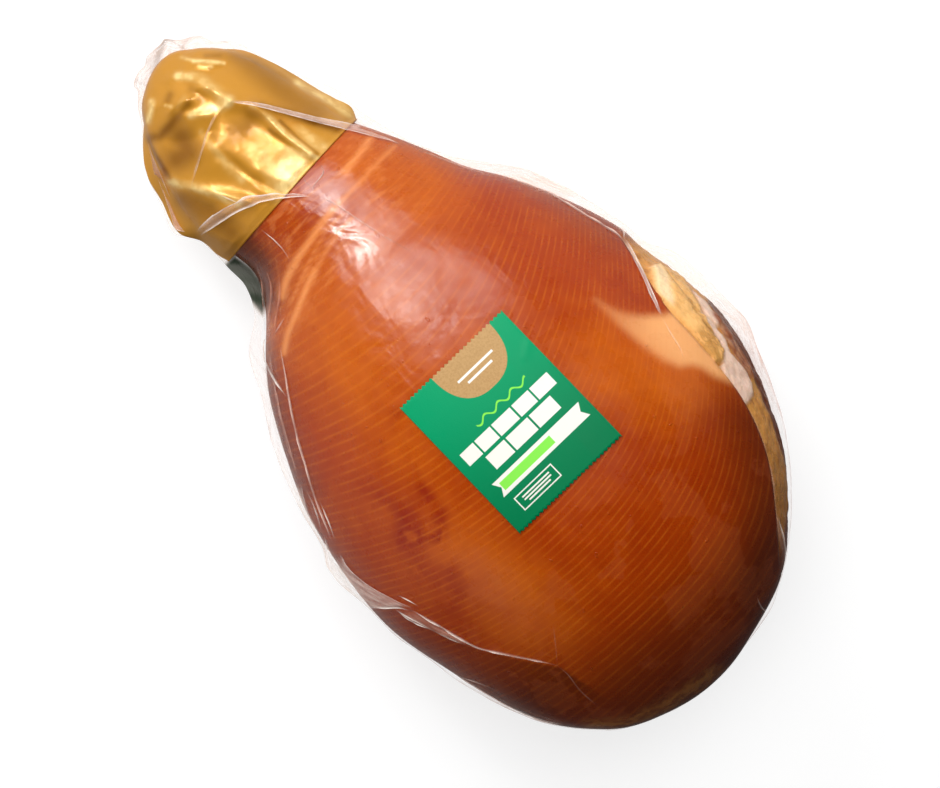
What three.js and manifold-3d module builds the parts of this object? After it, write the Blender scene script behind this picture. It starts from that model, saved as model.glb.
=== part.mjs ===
// A whole smoked leg of ham on the bone, lying on its side in a clear vacuum bag.
//
// The bag clings to the leg, so leg and bag are one solid out to the film, with the thin rim of spare
// film that runs round the pack and stands past the shank end. A gold foil cover is pulled over the
// shank, and a paper label with pinked ends is stuck on the broad upper side.
//
// Lengths are in millimetres. X runs along the leg from the shank to the butt, Y across it towards the
// side where the rind was trimmed and fat and meat show, and Z up from the surface it lies on.

import * as THREE from "three";
import Module from "manifold-3d";
import { mergeVertices } from "three/addons/utils/BufferGeometryUtils.js";

const wasm = await Module();
wasm.setup();

// Driving dimensions
const BUTT_X = 205.5; // the far end of the round butt
const RIM_X = -157.5; // where the gold cover's rim crosses the middle of the leg
const SHANK_X = -262; // the closed end of the gold cover
const RIM_SLANT = 0.1; // how far the rim leans back along X for each millimetre of Y
const SLANT_REACH = 45; // how far from the rim along X the lean fades out
const CLEARANCE = 0.35; // air between two solids that touch
const RIND_STEP = 3; // how far the trimmed side lies below the rind
const FILM_RIM = 1.6; // thickness of the two films pressed together round the pack
const FOIL_RIM = 1.2; // thickness of the foil cover's pressed side seams

const LABEL = {
  x: 20.5,
  y: 0.8,
  length: 95, // along the leg, between the pinked ends
  width: 77.5,
  turn: 0.022, // radians
  teeth: 27,
  toothDepth: 1.3,
  thickness: 0.5,
  rows: 7,
};

// The leg's sections: x, the low and high side in Y, the underside, the top, and the widest line in Z.
// An underside below zero is the soft flat on which the leg lies.
const LEG_SECTIONS = [
  [-165, -51, 45.5, 15, 93, 52],
  [-140, -49, 59, 9, 104, 53],
  [-120, -59, 69.5, 4, 112, 55],
  [-100, -76, 79.5, 1, 121, 57],
  [-80, -90, 93, -2, 131, 60],
  [-50, -105, 108, -5, 144, 63],
  [-20, -117, 119, -7, 155, 66],
  [20, -125, 128, -8, 165, 69],
  [60, -127, 131.5, -8, 170, 71],
  [100, -118.5, 122, -7, 168, 72],
  [140, -106.5, 103, -4, 157, 72],
  [160, -97, 86.5, 0, 146, 73],
  [180, -80, 64, 9, 126, 74],
  [190, -68, 48, 17, 112, 75],
  [200, -45, 19, 34, 93, 73],
  [BUTT_X, -13, -13, 70, 70, 70],
];
const LEG_ROUND = { top: 2.15, under: 2.5 }; // superellipse powers above and below the widest line

// The gold cover's sections, in the same columns.
const COVER_SECTIONS = [
  [SHANK_X, -6, -6, 44, 44, 44],
  [-256, -24, 9, 34, 56, 44],
  [-250, -32, 17, 28, 62, 44],
  [-240, -39, 26, 21, 70, 45],
  [-220, -49, 35, 15, 80, 46],
  [-200, -55, 41, 12, 87, 47],
  [-184, -57, 45, 11, 91, 49],
  [-170, -55, 47.5, 11.5, 94, 51],
  [RIM_X, -52, 49.5, 12.5, 98, 52.5],
  [-150, -50.5, 53, 11.5, 101, 53],
];
const COVER_ROUND = { top: 2.2, under: 2.2 };

// Outer edges of the film rim: x, the low side and the high side in Y.
const FILM_EDGES = [
  [-269.5, -5, 3],
  [-264, -26, 8],
  [-258, -29, 18],
  [-250, -35, 22],
  [-243, -39, 30],
  [-228, -51, 36],
  [-215, -57.5, 39],
  [-200, -62, 47],
  [-184, -66.5, 54.5],
  [-176, -60, 56],
  [-165, -58, 56.5],
  [-150, -57.5, 61],
  [-135, -57.5, 65.5],
  [-120, -65, 73],
  [-108, -80, 80],
  [-85, -92, 98],
  [-78, -96, 103],
  [-60, -106, 111],
  [-20, -120, 122.5],
  [0, -124, 126],
  [12, -130, 133],
  [40, -129, 136],
  [68, -127, 136.5],
  [85, -123.5, 130.5],
  [105, -119.5, 122.5],
  [130, -112, 110],
  [160, -95, 84],
];

// Outer edges of the foil cover's pressed side seams: x, low side, high side.
const FOIL_EDGES = [
  [-255, -22, 6],
  [-240, -40, 27],
  [-224, -54, 36.5],
  [-205, -60, 43],
  [-186, -64.5, 48],
  [-176, -58.5, 51],
  [-165, -57, 54.5],
  [-158, -55, 52],
];

// The trimmed side: x and the Y of the rind's cut edge as seen from above.
const TRIM_START = -20;
const TRIM_END = 184;
const TRIM_EDGE = [
  [-20, 117],
  [10, 112],
  [30, 108.5],
  [60, 108],
  [100, 104.5],
  [130, 94],
  [160, 74],
  [184, 55],
];
const TRIM_LOWER_ANGLE = -1.15; // radians below the widest line where the rind starts again
const FAT_TONGUE = { x: 45, length: 34, angle: 0.42, spread: 0.13, height: 5 };
const FAT_ROLL = { x: 110, length: 45, angle: 0.16, spread: 0.12, height: 3 };

// Folds in the foil cover, seen from above: ridges from one point to another and round hollows.
const FOLDS = [
  { from: [-217, 6], to: [-163, 46], height: 4, reach: 5 },
  { from: [-208, 15], to: [-160, 22], height: 3.2, reach: 4 },
  { from: [-245, 3], to: [-217, 7], height: 2.5, reach: 6 },
  { from: [-222, -16], to: [-162, -12], height: 2.2, reach: 5 },
  { from: [-210, -47], to: [-168, -24], height: 3.2, reach: 5 },
  { from: [-176, -56], to: [-170, -26], height: 2.5, reach: 4 },
  { from: [-247, -30], to: [-232, -8], height: 2.4, reach: 4 },
];
const HOLLOWS = [
  { at: [-221, -31], radius: 13, depth: 5 },
  { at: [-203, 5], radius: 13, depth: 3 },
  { at: [-185, -22], radius: 10, depth: 2.5 },
  { at: [-192, 32], radius: 12, depth: 3 },
  { at: [-236, 20], radius: 9, depth: 2 },
];

// Mesh fineness
const LEG_RINGS = 46;
const TRIM_STEPS = 12; // steps across the trimmed side
const ROUND_STEPS = 36; // steps round the rest of the leg
const COVER_RINGS = 23;
const COVER_STEPS = 40;
const RIM_STEP_X = 6;
const RIM_CREASE_X = 4; // how far apart creases in the film rim lie at the shank

const colours = {
  rind: 0xb9571d,
  foil: 0xd29a3e,
  paper: 0x0a8a57,
};

// A function of x that smoothly joins the rows of a table, and gives every other column.
function smoothTable(rows) {
  const columns = rows[0].length - 1;
  const xs = rows.map((row) => row[0]);
  const values = rows.flatMap((row) => row.slice(1));
  const interpolant = new THREE.CubicInterpolant(xs, values, columns);
  return (x) => Array.from(interpolant.evaluate(THREE.MathUtils.clamp(x, xs[0], xs.at(-1))));
}

// The section's centre in Y, half width, height of the widest line, and heights above and below it.
// Squares of the sizes are joined instead of the sizes, which rounds the closed ends.
function sectionTable(rows) {
  const table = smoothTable(
    rows.map(([x, low, high, under, top, wide]) => [
      x,
      (low + high) / 2,
      ((high - low) / 2) ** 2,
      wide,
      (top - wide) ** 2,
      (wide - under) ** 2,
    ]),
  );
  return (x) => {
    const [middle, halfSquared, wide, upSquared, downSquared] = table(x);
    return {
      middle,
      half: Math.sqrt(Math.max(0, halfSquared)),
      wide,
      up: Math.sqrt(Math.max(0, upSquared)),
      down: Math.sqrt(Math.max(0, downSquared)),
    };
  };
}

const legAt = sectionTable(LEG_SECTIONS);
const coverAt = sectionTable(COVER_SECTIONS);
const filmEdgesAt = smoothTable(FILM_EDGES);
const foilEdgesAt = smoothTable(FOIL_EDGES);
const trimEdgeAt = smoothTable(TRIM_EDGE);

function signedPower(value, power) {
  return Math.sign(value) * Math.abs(value) ** power;
}

function bump(distance, reach) {
  return Math.exp(-((distance / reach) ** 2));
}

// A point on a section at an angle from +Y over the top, with the section shrunk by an inset.
function sectionPoint(section, rounding, x, angle, inset = 0) {
  const upper = Math.sin(angle) >= 0;
  const power = 2 / (upper ? rounding.top : rounding.under);
  const height = upper ? section.up : section.down;
  const across = Math.max(0, section.half - inset);
  const tall = Math.max(0, height - inset);
  const y = section.middle + across * signedPower(Math.cos(angle), power);
  const z = section.wide + tall * signedPower(Math.sin(angle), power);
  const lean = RIM_SLANT * Math.exp(-(((x - RIM_X) / SLANT_REACH) ** 2));
  return new THREE.Vector3(x - lean * y, y, Math.max(0, z));
}

// The angle on the leg's upper side whose point has this Y.
function angleAtY(section, y) {
  const share = THREE.MathUtils.clamp((y - section.middle) / section.half, -1, 1);
  return Math.acos(signedPower(share, LEG_ROUND.top / 2));
}

// How far the trimmed side lies below the rind at x, from 0 where the rind is whole to 1.
function trimDepth(x) {
  const start = THREE.MathUtils.smoothstep(x, TRIM_START, TRIM_START + 22);
  const end = THREE.MathUtils.smoothstep(x, TRIM_END - 25, TRIM_END);
  return start * (1 - end);
}

function lobe(lump, x, angle) {
  return lump.height * bump(x - lump.x, lump.length) * bump(angle - lump.angle, lump.spread);
}

// Triangles that close a ring with a fan from its centre, facing along the rings' run.
function fanCap(ring) {
  const centre = ring.reduce((sum, p) => sum.add(p), new THREE.Vector3()).divideScalar(ring.length);
  return ring.map((point, j) => [centre, point, ring[(j + 1) % ring.length]]);
}

// Triangles that close a thin ring with strips between its over row and its below row.
function stripCap(ring) {
  const last = ring.length - 1;
  const triangles = [];
  for (let j = 0; j < last / 2 - 1; j++) {
    triangles.push([ring[j], ring[j + 1], ring[last - j - 1]]);
    triangles.push([ring[j], ring[last - j - 1], ring[last - j]]);
  }
  return triangles;
}

// A closed solid from rings of points of equal count, each turning from +Y over the top.
function loft(rings, cap = fanCap) {
  const count = rings[0].length;
  const positions = [];
  const triangle = (a, b, c) => positions.push(...a.toArray(), ...b.toArray(), ...c.toArray());
  for (let i = 0; i + 1 < rings.length; i++) {
    for (let j = 0; j < count; j++) {
      const next = (j + 1) % count;
      triangle(rings[i][j], rings[i + 1][next], rings[i + 1][j]);
      triangle(rings[i][j], rings[i][next], rings[i + 1][next]);
    }
  }
  for (const [a, b, c] of cap(rings[0])) triangle(a, c, b);
  for (const [a, b, c] of cap(rings.at(-1))) triangle(a, b, c);
  const raw = new THREE.BufferGeometry();
  raw.setAttribute("position", new THREE.Float32BufferAttribute(positions, 3));
  return withoutSlivers(mergeVertices(raw, 1e-3));
}

// Drops the triangles whose corners merged, as at a pole.
function withoutSlivers(geometry) {
  const index = Array.from(geometry.index.array);
  const kept = [];
  for (let i = 0; i < index.length; i += 3) {
    const [a, b, c] = index.slice(i, i + 3);
    if (a !== b && b !== c && c !== a) kept.push(a, b, c);
  }
  geometry.setIndex(kept);
  return geometry;
}

function solidFrom(geometry) {
  return new wasm.Manifold(
    new wasm.Mesh({
      numProp: 3,
      vertProperties: new Float32Array(geometry.attributes.position.array),
      triVerts: new Uint32Array(geometry.index.array),
    }),
  );
}

function geometryFrom(solid) {
  const { vertProperties, triVerts } = solid.getMesh();
  const geometry = new THREE.BufferGeometry();
  geometry.setAttribute("position", new THREE.Float32BufferAttribute(vertProperties, 3));
  geometry.setIndex(Array.from(triVerts));
  return geometry;
}

// The same closed shape with every vertex moved out along its normal.
function grown(geometry, distance) {
  const copy = geometry.clone();
  copy.computeVertexNormals();
  const position = copy.attributes.position;
  const normal = copy.attributes.normal;
  for (let i = 0; i < position.count; i++) {
    position.setXYZ(
      i,
      position.getX(i) + normal.getX(i) * distance,
      position.getY(i) + normal.getY(i) * distance,
      position.getZ(i) + normal.getZ(i) * distance,
    );
  }
  copy.deleteAttribute("normal");
  return copy;
}

// The leg: rings crowd towards the butt, and one line of the mesh follows the rind's cut edge.
function legRing(x) {
  const section = legAt(x);
  const depth = trimDepth(x);
  const edge = section.half > 0 ? angleAtY(section, trimEdgeAt(x)[0]) : 0;
  const lip = edge + 0.03;
  const ring = [];
  for (let j = 0; j <= TRIM_STEPS; j++) {
    const angle = THREE.MathUtils.lerp(edge, TRIM_LOWER_ANGLE, j / TRIM_STEPS);
    const lumps = lobe(FAT_TONGUE, x, angle) + lobe(FAT_ROLL, x, angle);
    const ends = THREE.MathUtils.smoothstep(TRIM_STEPS - j, 0, 3);
    const inset = depth * (RIND_STEP * ends - lumps);
    ring.push(sectionPoint(section, LEG_ROUND, x, angle, inset));
  }
  const round = 2 * Math.PI - (lip - TRIM_LOWER_ANGLE);
  for (let j = 1; j <= ROUND_STEPS; j++) {
    const angle = TRIM_LOWER_ANGLE - (round * j) / ROUND_STEPS;
    ring.push(sectionPoint(section, LEG_ROUND, x, angle));
  }
  return ring.reverse();
}

function legGeometry() {
  const start = LEG_SECTIONS[0][0];
  const rings = [];
  for (let i = 0; i <= LEG_RINGS; i++) {
    const left = 1 - i / LEG_RINGS;
    rings.push(legRing(BUTT_X - (BUTT_X - start) * left ** 1.6));
  }
  return loft(rings);
}

// Height of the leg's upper side over a point, without the rind's fine relief.
function topAt(x, y) {
  const section = legAt(x);
  return sectionPoint(section, LEG_ROUND, x, angleAtY(section, y)).z;
}

// Distance from a point to a straight line between two others, all seen from above.
function distanceToLine(x, y, from, to) {
  const line = new THREE.Line3(new THREE.Vector3(...from, 0), new THREE.Vector3(...to, 0));
  const point = new THREE.Vector3(x, y, 0);
  return line.closestPointToPoint(point, true, new THREE.Vector3()).distanceTo(point);
}

// Height of the foil's folds over a point on the cover. The underside has the same folds, shallower.
function foldHeight(x, y) {
  const ridges = FOLDS.reduce(
    (sum, fold) => sum + fold.height * bump(distanceToLine(x, y, fold.from, fold.to), fold.reach),
    0,
  );
  const dips = HOLLOWS.reduce((sum, hollow) => {
    const distance = Math.hypot(x - hollow.at[0], y - hollow.at[1]);
    return sum + hollow.depth * bump(distance, hollow.radius);
  }, 0);
  return ridges - dips;
}

function coverRing(x) {
  const section = coverAt(x);
  const ring = [];
  const calm = THREE.MathUtils.smoothstep(x, SHANK_X, SHANK_X + 12);
  for (let j = 0; j < COVER_STEPS; j++) {
    const angle = (2 * Math.PI * j) / COVER_STEPS;
    const point = sectionPoint(section, COVER_ROUND, x, angle);
    const facing = Math.sin(angle);
    const strength = facing > 0 ? facing : 0.5 * facing;
    point.z += calm * strength * foldHeight(point.x, point.y);
    ring.push(point);
  }
  return ring;
}

// A thin plate between two edges along the pack. Its edges rise and fall in small creases.
function rimPlate(edgesAt, start, end, thickness, creases) {
  const rings = [];
  const steps = Math.ceil((end - start) / RIM_STEP_X);
  for (let i = 0; i <= steps; i++) {
    const x = start + ((end - start) * i) / steps;
    const [low, high] = edgesAt(x);
    const wide = x < RIM_X ? coverAt(x).wide : legAt(x).wide;
    const lowZ = wide + creases * Math.sin(x / RIM_CREASE_X);
    const highZ = wide + creases * Math.cos(x / (RIM_CREASE_X * 1.7));
    rings.push([
      new THREE.Vector3(x, high, highZ - thickness / 2),
      new THREE.Vector3(x, high, highZ + thickness / 2),
      new THREE.Vector3(x, low, lowZ + thickness / 2),
      new THREE.Vector3(x, low, lowZ - thickness / 2),
    ]);
  }
  return loft(rings);
}

function coverGeometry() {
  const rings = [];
  for (let i = 0; i <= COVER_RINGS; i++) {
    const share = (i / COVER_RINGS) ** 1.35;
    rings.push(coverRing(THREE.MathUtils.lerp(SHANK_X, RIM_X, share)));
  }
  const seams = rimPlate(foilEdgesAt, FOIL_EDGES[0][0], RIM_X - 2, FOIL_RIM, 1.2);
  return geometryFrom(solidFrom(loft(rings)).add(solidFrom(seams)));
}

// The largest of a solid's separate bodies, without the loose scraps that a cut can leave.
function largestBody(solid) {
  const bodies = solid.decompose();
  return bodies.reduce((best, body) => (body.volume() > best.volume() ? body : best));
}

// The leg in its film, cut away where the gold cover sits.
function baggedLegGeometry(cover) {
  const film = rimPlate(filmEdgesAt, FILM_EDGES[0][0], FILM_EDGES.at(-1)[0], FILM_RIM, 2);
  const room = solidFrom(grown(cover, CLEARANCE));
  const bagged = solidFrom(legGeometry()).add(solidFrom(film)).subtract(room);
  return geometryFrom(largestBody(bagged));
}

// The label lies on the leg's curve. Its pinked ends zigzag, and its long sides are straight.
function labelGeometry() {
  const { x, y, length, width, turn, teeth, toothDepth, thickness, rows } = LABEL;
  const columns = 2 * teeth;
  const at = (row, column, lift) => {
    const tooth = column % 2 ? toothDepth / 2 : -toothDepth / 2;
    const along = THREE.MathUtils.lerp(-1, 1, row / rows);
    const u = along * (length / 2) + (Math.abs(along) === 1 ? Math.sign(along) * tooth : 0);
    const v = width * (column / columns - 0.5);
    const px = x + u * Math.cos(turn) - v * Math.sin(turn);
    const py = y + u * Math.sin(turn) + v * Math.cos(turn);
    return new THREE.Vector3(px, py, topAt(px, py) + lift);
  };
  const rings = [];
  for (let row = 0; row <= rows; row++) {
    const over = [];
    const below = [];
    for (let column = 0; column <= columns; column++) {
      over.push(at(row, column, CLEARANCE + thickness));
      below.push(at(row, column, CLEARANCE));
    }
    rings.push([...over.reverse(), ...below]);
  }
  return loft(rings, stripCap);
}

function piece(name, geometry, color, roughness, metalness) {
  const mesh = new THREE.Mesh(
    geometry,
    new THREE.MeshStandardMaterial({ color, roughness, metalness, flatShading: true }),
  );
  mesh.name = name;
  return mesh;
}

const cover = coverGeometry();
const pack = new THREE.Group();
pack.add(
  piece("bagged_ham", baggedLegGeometry(cover), colours.rind, 0.25, 0),
  piece("shank_cover", cover, colours.foil, 0.3, 0.8),
  piece("label", labelGeometry(), colours.paper, 0.6, 0),
);

// The origin goes under the middle of the pack, on the surface it lies on.
const box = new THREE.Box3().setFromObject(pack);
const middle = box.getCenter(new THREE.Vector3());
pack.position.set(-middle.x, -middle.y, -box.min.z);

export default pack;
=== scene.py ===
"""The looks of a whole smoked leg of ham in its clear vacuum bag.

The leg lies on its side with the broad rind up. A gold cover is pulled over the shank, the bag clings to leg
and cover and stands out round them as a thin rim, and a paper label with pinked ends is stuck on the rind.

Tables are in millimetres from the leg's own origin: x along the leg from the shank to the butt, y across it
towards the trimmed side, z up from the floor. MM turns them into metres.
"""

import logging
import math
from collections.abc import Sequence
from dataclasses import dataclass, field
from enum import Enum
from functools import reduce

import bpy
import numpy as np
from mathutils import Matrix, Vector


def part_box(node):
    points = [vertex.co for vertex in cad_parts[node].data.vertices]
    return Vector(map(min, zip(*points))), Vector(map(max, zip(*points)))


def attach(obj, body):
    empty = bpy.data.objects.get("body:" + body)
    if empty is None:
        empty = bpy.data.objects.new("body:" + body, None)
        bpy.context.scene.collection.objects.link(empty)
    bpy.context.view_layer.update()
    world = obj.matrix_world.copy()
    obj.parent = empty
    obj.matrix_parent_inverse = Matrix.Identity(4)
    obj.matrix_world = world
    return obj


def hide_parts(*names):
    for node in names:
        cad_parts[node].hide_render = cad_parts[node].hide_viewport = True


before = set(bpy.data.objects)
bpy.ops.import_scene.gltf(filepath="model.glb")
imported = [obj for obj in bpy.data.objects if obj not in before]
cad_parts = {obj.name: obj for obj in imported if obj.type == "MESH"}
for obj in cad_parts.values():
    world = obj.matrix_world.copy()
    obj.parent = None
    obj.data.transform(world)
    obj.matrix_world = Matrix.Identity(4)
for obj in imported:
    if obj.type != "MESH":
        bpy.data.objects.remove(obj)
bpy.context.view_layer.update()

LOG = logging.getLogger("smoked_ham")

MM = 0.001
WEIGHT_STEPS = 50
FOLD_SHARE = 0.72
DETAIL_SHARE = 0.75
HOLLOW_SHARE = 0.8

Array = np.ndarray
Pair = tuple[float, float]
Triple = tuple[float, float, float]
Path = Sequence[Pair]
Colour = Triple
Piece = bpy.types.Object
Material = bpy.types.Material
NodeTree = bpy.types.NodeTree
ShaderNode = bpy.types.Node
Socket = bpy.types.NodeSocket


class Slot(Enum):
    """The names of the material slots for the pieces' finishes."""

    RIND = "smoked_rind"
    FOIL = "gold_foil"
    FILM = "clear_film"
    PAPER = "label_paper"


class Node(Enum):
    """The solids that the pieces stand for."""

    BAGGED_HAM = "bagged_ham"
    SHANK_COVER = "shank_cover"
    LABEL = "label"


def srgb(red: int, green: int, blue: int) -> Colour:
    """Turn a colour as seen on a screen, from 0 to 255, into light."""
    shares = (red / 255, green / 255, blue / 255)
    return tuple(s / 12.92 if s <= 0.04045 else ((s + 0.055) / 1.055) ** 2.4 for s in shares)


def smoothstep(value: Array, low: float, high: float) -> Array:
    """Rise smoothly from 0 at low to 1 at high."""
    share = np.clip((value - low) / (high - low), 0, 1)
    return share * share * (3 - 2 * share)


def bump(distance: Array, reach: float) -> Array:
    """Give a soft round hump of height 1 that fades with distance."""
    return np.exp(-((distance / reach) ** 2))


def signed_power(value: Array, power: Array | float) -> Array:
    """Raise to a power and keep the sign."""
    return np.sign(value) * np.abs(value) ** power


def distance_to_path(x: Array, y: Array, path: Path) -> Array:
    """Measure how far points lie from an open path of straight stretches.

    Args:
        x: First coordinates of the points.
        y: Second coordinates of the points.
        path: The path's corners.

    Returns:
        The distances.
    """
    nearest = np.hypot(x - path[0][0], y - path[0][1])
    for (ax, ay), (bx, by) in zip(path[:-1], path[1:]):
        dx, dy = bx - ax, by - ay
        share = np.clip(((x - ax) * dx + (y - ay) * dy) / (dx * dx + dy * dy), 0, 1)
        nearest = np.minimum(nearest, np.hypot(x - ax - share * dx, y - ay - share * dy))
    return nearest


def inside_outline(x: Array, y: Array, outline: Path) -> Array:
    """Tell which points lie inside a closed outline.

    Args:
        x: First coordinates of the points.
        y: Second coordinates of the points.
        outline: The outline's corners.

    Returns:
        True for each point inside.
    """
    inside = np.zeros(np.shape(x), bool)
    for (ax, ay), (bx, by) in zip(outline, [*outline[1:], outline[0]]):
        if ay == by:
            continue
        crosses = (ay > y) != (by > y)
        inside ^= crosses & (x < ax + (y - ay) * (bx - ax) / (by - ay))
    return inside


def patch_mask(x: Array, y: Array, outline: Path, soft: float) -> Array:
    """Give a mask of a closed outline with a soft edge.

    Args:
        x: First coordinates of the points.
        y: Second coordinates of the points.
        outline: The outline's corners.
        soft: Half the width of the soft edge.

    Returns:
        1 well inside, 0 well outside.
    """
    distance = distance_to_path(x, y, [*outline, outline[0]])
    signed = np.where(inside_outline(x, y, outline), distance, -distance)
    return smoothstep(signed, -soft, soft)


class Profile:
    """Values that change smoothly along a line, from a table of stations."""

    def __init__(self, rows: Sequence[Sequence[float]]) -> None:
        """Keep the table and work out its slopes.

        Args:
            rows: The station first, and then the values there.
        """
        table = np.array(rows, float)
        self.stations = table[:, 0]
        self.values = table[:, 1:]
        secants = np.diff(self.values, axis=0) / np.diff(self.stations)[:, None]
        middles = (secants[:-1] + secants[1:]) / 2
        self.slopes = np.vstack([secants[:1], middles, secants[-1:]])

    def __call__(self, where: Array | float) -> Array:
        """Read the values at some places.

        Args:
            where: Places along the line. Places past an end read the end.

        Returns:
            The values, in a last axis of their own.
        """
        place = np.clip(np.asarray(where, float), self.stations[0], self.stations[-1])
        row = np.clip(np.searchsorted(self.stations, place, side="right") - 1, 0, len(self.stations) - 2)
        span = (self.stations[row + 1] - self.stations[row])[..., None]
        p = (place[..., None] - self.stations[row][..., None]) / span
        first, last = self.values[row], self.values[row + 1]
        leaving, arriving = self.slopes[row] * span, self.slopes[row + 1] * span
        return (
            (2 * p**3 - 3 * p**2 + 1) * first
            + (p**3 - 2 * p**2 + p) * leaving
            + (3 * p**2 - 2 * p**3) * last
            + (p**3 - p**2) * arriving
        )


def smooth_path(path: Path, step: float) -> Array:
    """Run a smooth line through a path's corners.

    Args:
        path: The corners.
        step: Distance between the points of the line.

    Returns:
        Points of the line, one a row, with their distance from the start in a last column.
    """
    corners = np.array(path, float)
    lengths = np.concatenate([[0], np.cumsum(np.hypot(*np.diff(corners, axis=0).T))])
    along = np.linspace(0, lengths[-1], max(4, int(lengths[-1] / step) + 1))
    points = Profile(np.column_stack([lengths, corners]))(along)
    return np.column_stack([points, along])


@dataclass(frozen=True)
class Crease:
    """A pinched fold that follows a path seen from above.

    Attributes:
        path: Corners of the crest, as x and y.
        width: Full width of the fold, or its reach to either side in foil.
        height: Height of the crest. A groove is below 0.
        haze: How milky the fold looks at its crest, from 0 to 1.
        fade: Share of the haze that is left at the end.
        crests: How many crests lie side by side.
        warm: How much of the meat's colour it takes on.
    """

    path: Path
    width: float
    height: float
    haze: float = 0.5
    fade: float = 1.0
    crests: int = 1
    warm: float = 0.2


@dataclass(frozen=True)
class Web:
    """A strip of film between two lines seen from above.

    Attributes:
        first: Corners of its first border.
        second: Corners of its second border, which runs the same way.
        haze: How milky it is inside, from 0 to 1.
        borders: How milky its two borders are.
        warm: How much of the meat's colour it takes on.
    """

    first: Path
    second: Path
    haze: float
    borders: Pair
    warm: float = 0.3


@dataclass(frozen=True)
class Stroke:
    """A soft stroke or spot of colour.

    Attributes:
        path: Its corners. A spot has one.
        reach: How far it spreads.
        strength: How strong it is. One below 0 darkens.
    """

    path: Path
    reach: float
    strength: float


def strokes(*rows: tuple[Path, float, float]) -> tuple[Stroke, ...]:
    """Make strokes from the values of each."""
    return tuple(Stroke(*row) for row in rows)


def creases(*rows: tuple[Path | float, ...]) -> tuple[Crease, ...]:
    """Make folds from the values of each."""
    return tuple(Crease(*row) for row in rows)


def webs(*rows: tuple[Path | float | Pair, ...]) -> tuple[Web, ...]:
    """Make strips of film from the values of each."""
    return tuple(Web(*row) for row in rows)


def painted_strokes(x: Array, y: Array, strokes: Sequence[Stroke]) -> Array:
    """Add up soft strokes over points seen from above.

    Args:
        x: First coordinates of the points.
        y: Second coordinates of the points.
        strokes: The strokes.

    Returns:
        The sum of their strengths.
    """
    total = np.zeros(np.shape(x))
    for stroke in strokes:
        total += stroke.strength * bump(distance_to_path(x, y, stroke.path), stroke.reach)
    return total


class Sections:
    """Rounded cross-sections that change smoothly along the leg."""

    RIM_X = -157.5
    RIM_SLANT = 0.1
    SLANT_REACH = 45.0

    def __init__(self, rows: Sequence[Sequence[float]], top: float, under: float) -> None:
        """Keep the sections as squares of their sizes, which rounds closed ends.

        Args:
            rows: x, the low and high side in y, the underside, the top and the widest line in z.
            top: Roundness above the widest line, where 2 is an ellipse.
            under: Roundness below it.
        """
        x, low, high, bottom, crown, wide = np.array(rows, float).T
        squares = [(low + high) / 2, ((high - low) / 2) ** 2, wide, (crown - wide) ** 2, (wide - bottom) ** 2]
        self._profile = Profile(np.column_stack([x, *squares]))
        self._top = top
        self._under = under

    def at(self, x: Array | float) -> tuple[Array, ...]:
        """Read the sections at some places.

        Args:
            x: Places along the leg.

        Returns:
            The middle in y, the half width, the widest line in z, and the heights above and below it.
        """
        middle, half, wide, up, down = np.moveaxis(self._profile(x), -1, 0)
        half, up, down = (np.sqrt(np.maximum(square, 0)) for square in (half, up, down))
        return middle, half, wide, up, down

    def lean(self, x: Array) -> Array:
        """Give how far a section leans back along x for each millimetre of y."""
        return self.RIM_SLANT * bump(x - self.RIM_X, self.SLANT_REACH)

    def point(self, x: Array, angle: Array, inset: Array | float = 0.0) -> Array:
        """Find points on the sections.

        Args:
            x: Places along the leg.
            angle: Angles from +y over the top.
            inset: How far the section is shrunk.

        Returns:
            The points, with x, y and z in a last axis.
        """
        middle, half, wide, up, down = self.at(x)
        upper = np.sin(angle) >= 0
        power = 2 / np.where(upper, self._top, self._under)
        height = np.where(upper, up, down)
        y = middle + np.maximum(half - inset, 0) * signed_power(np.cos(angle), power)
        z = wide + np.maximum(height - inset, 0) * signed_power(np.sin(angle), power)
        return np.stack([x - self.lean(x) * y, y, z], axis=-1)

    def angle_at(self, x: Array, y: Array) -> Array:
        """Find the angle on the upper side that lies over a y."""
        middle, half, *_ = self.at(x)
        share = np.clip((y - middle) / np.maximum(half, 1e-6), -1, 1)
        return np.arccos(signed_power(share, self._top / 2))

    def top(self, x: Array, y: Array) -> Array:
        """Give the height of the upper side over points seen from above."""
        station = x + self.lean(x) * y
        return self.point(station, self.angle_at(station, y))[..., 2]


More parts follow.
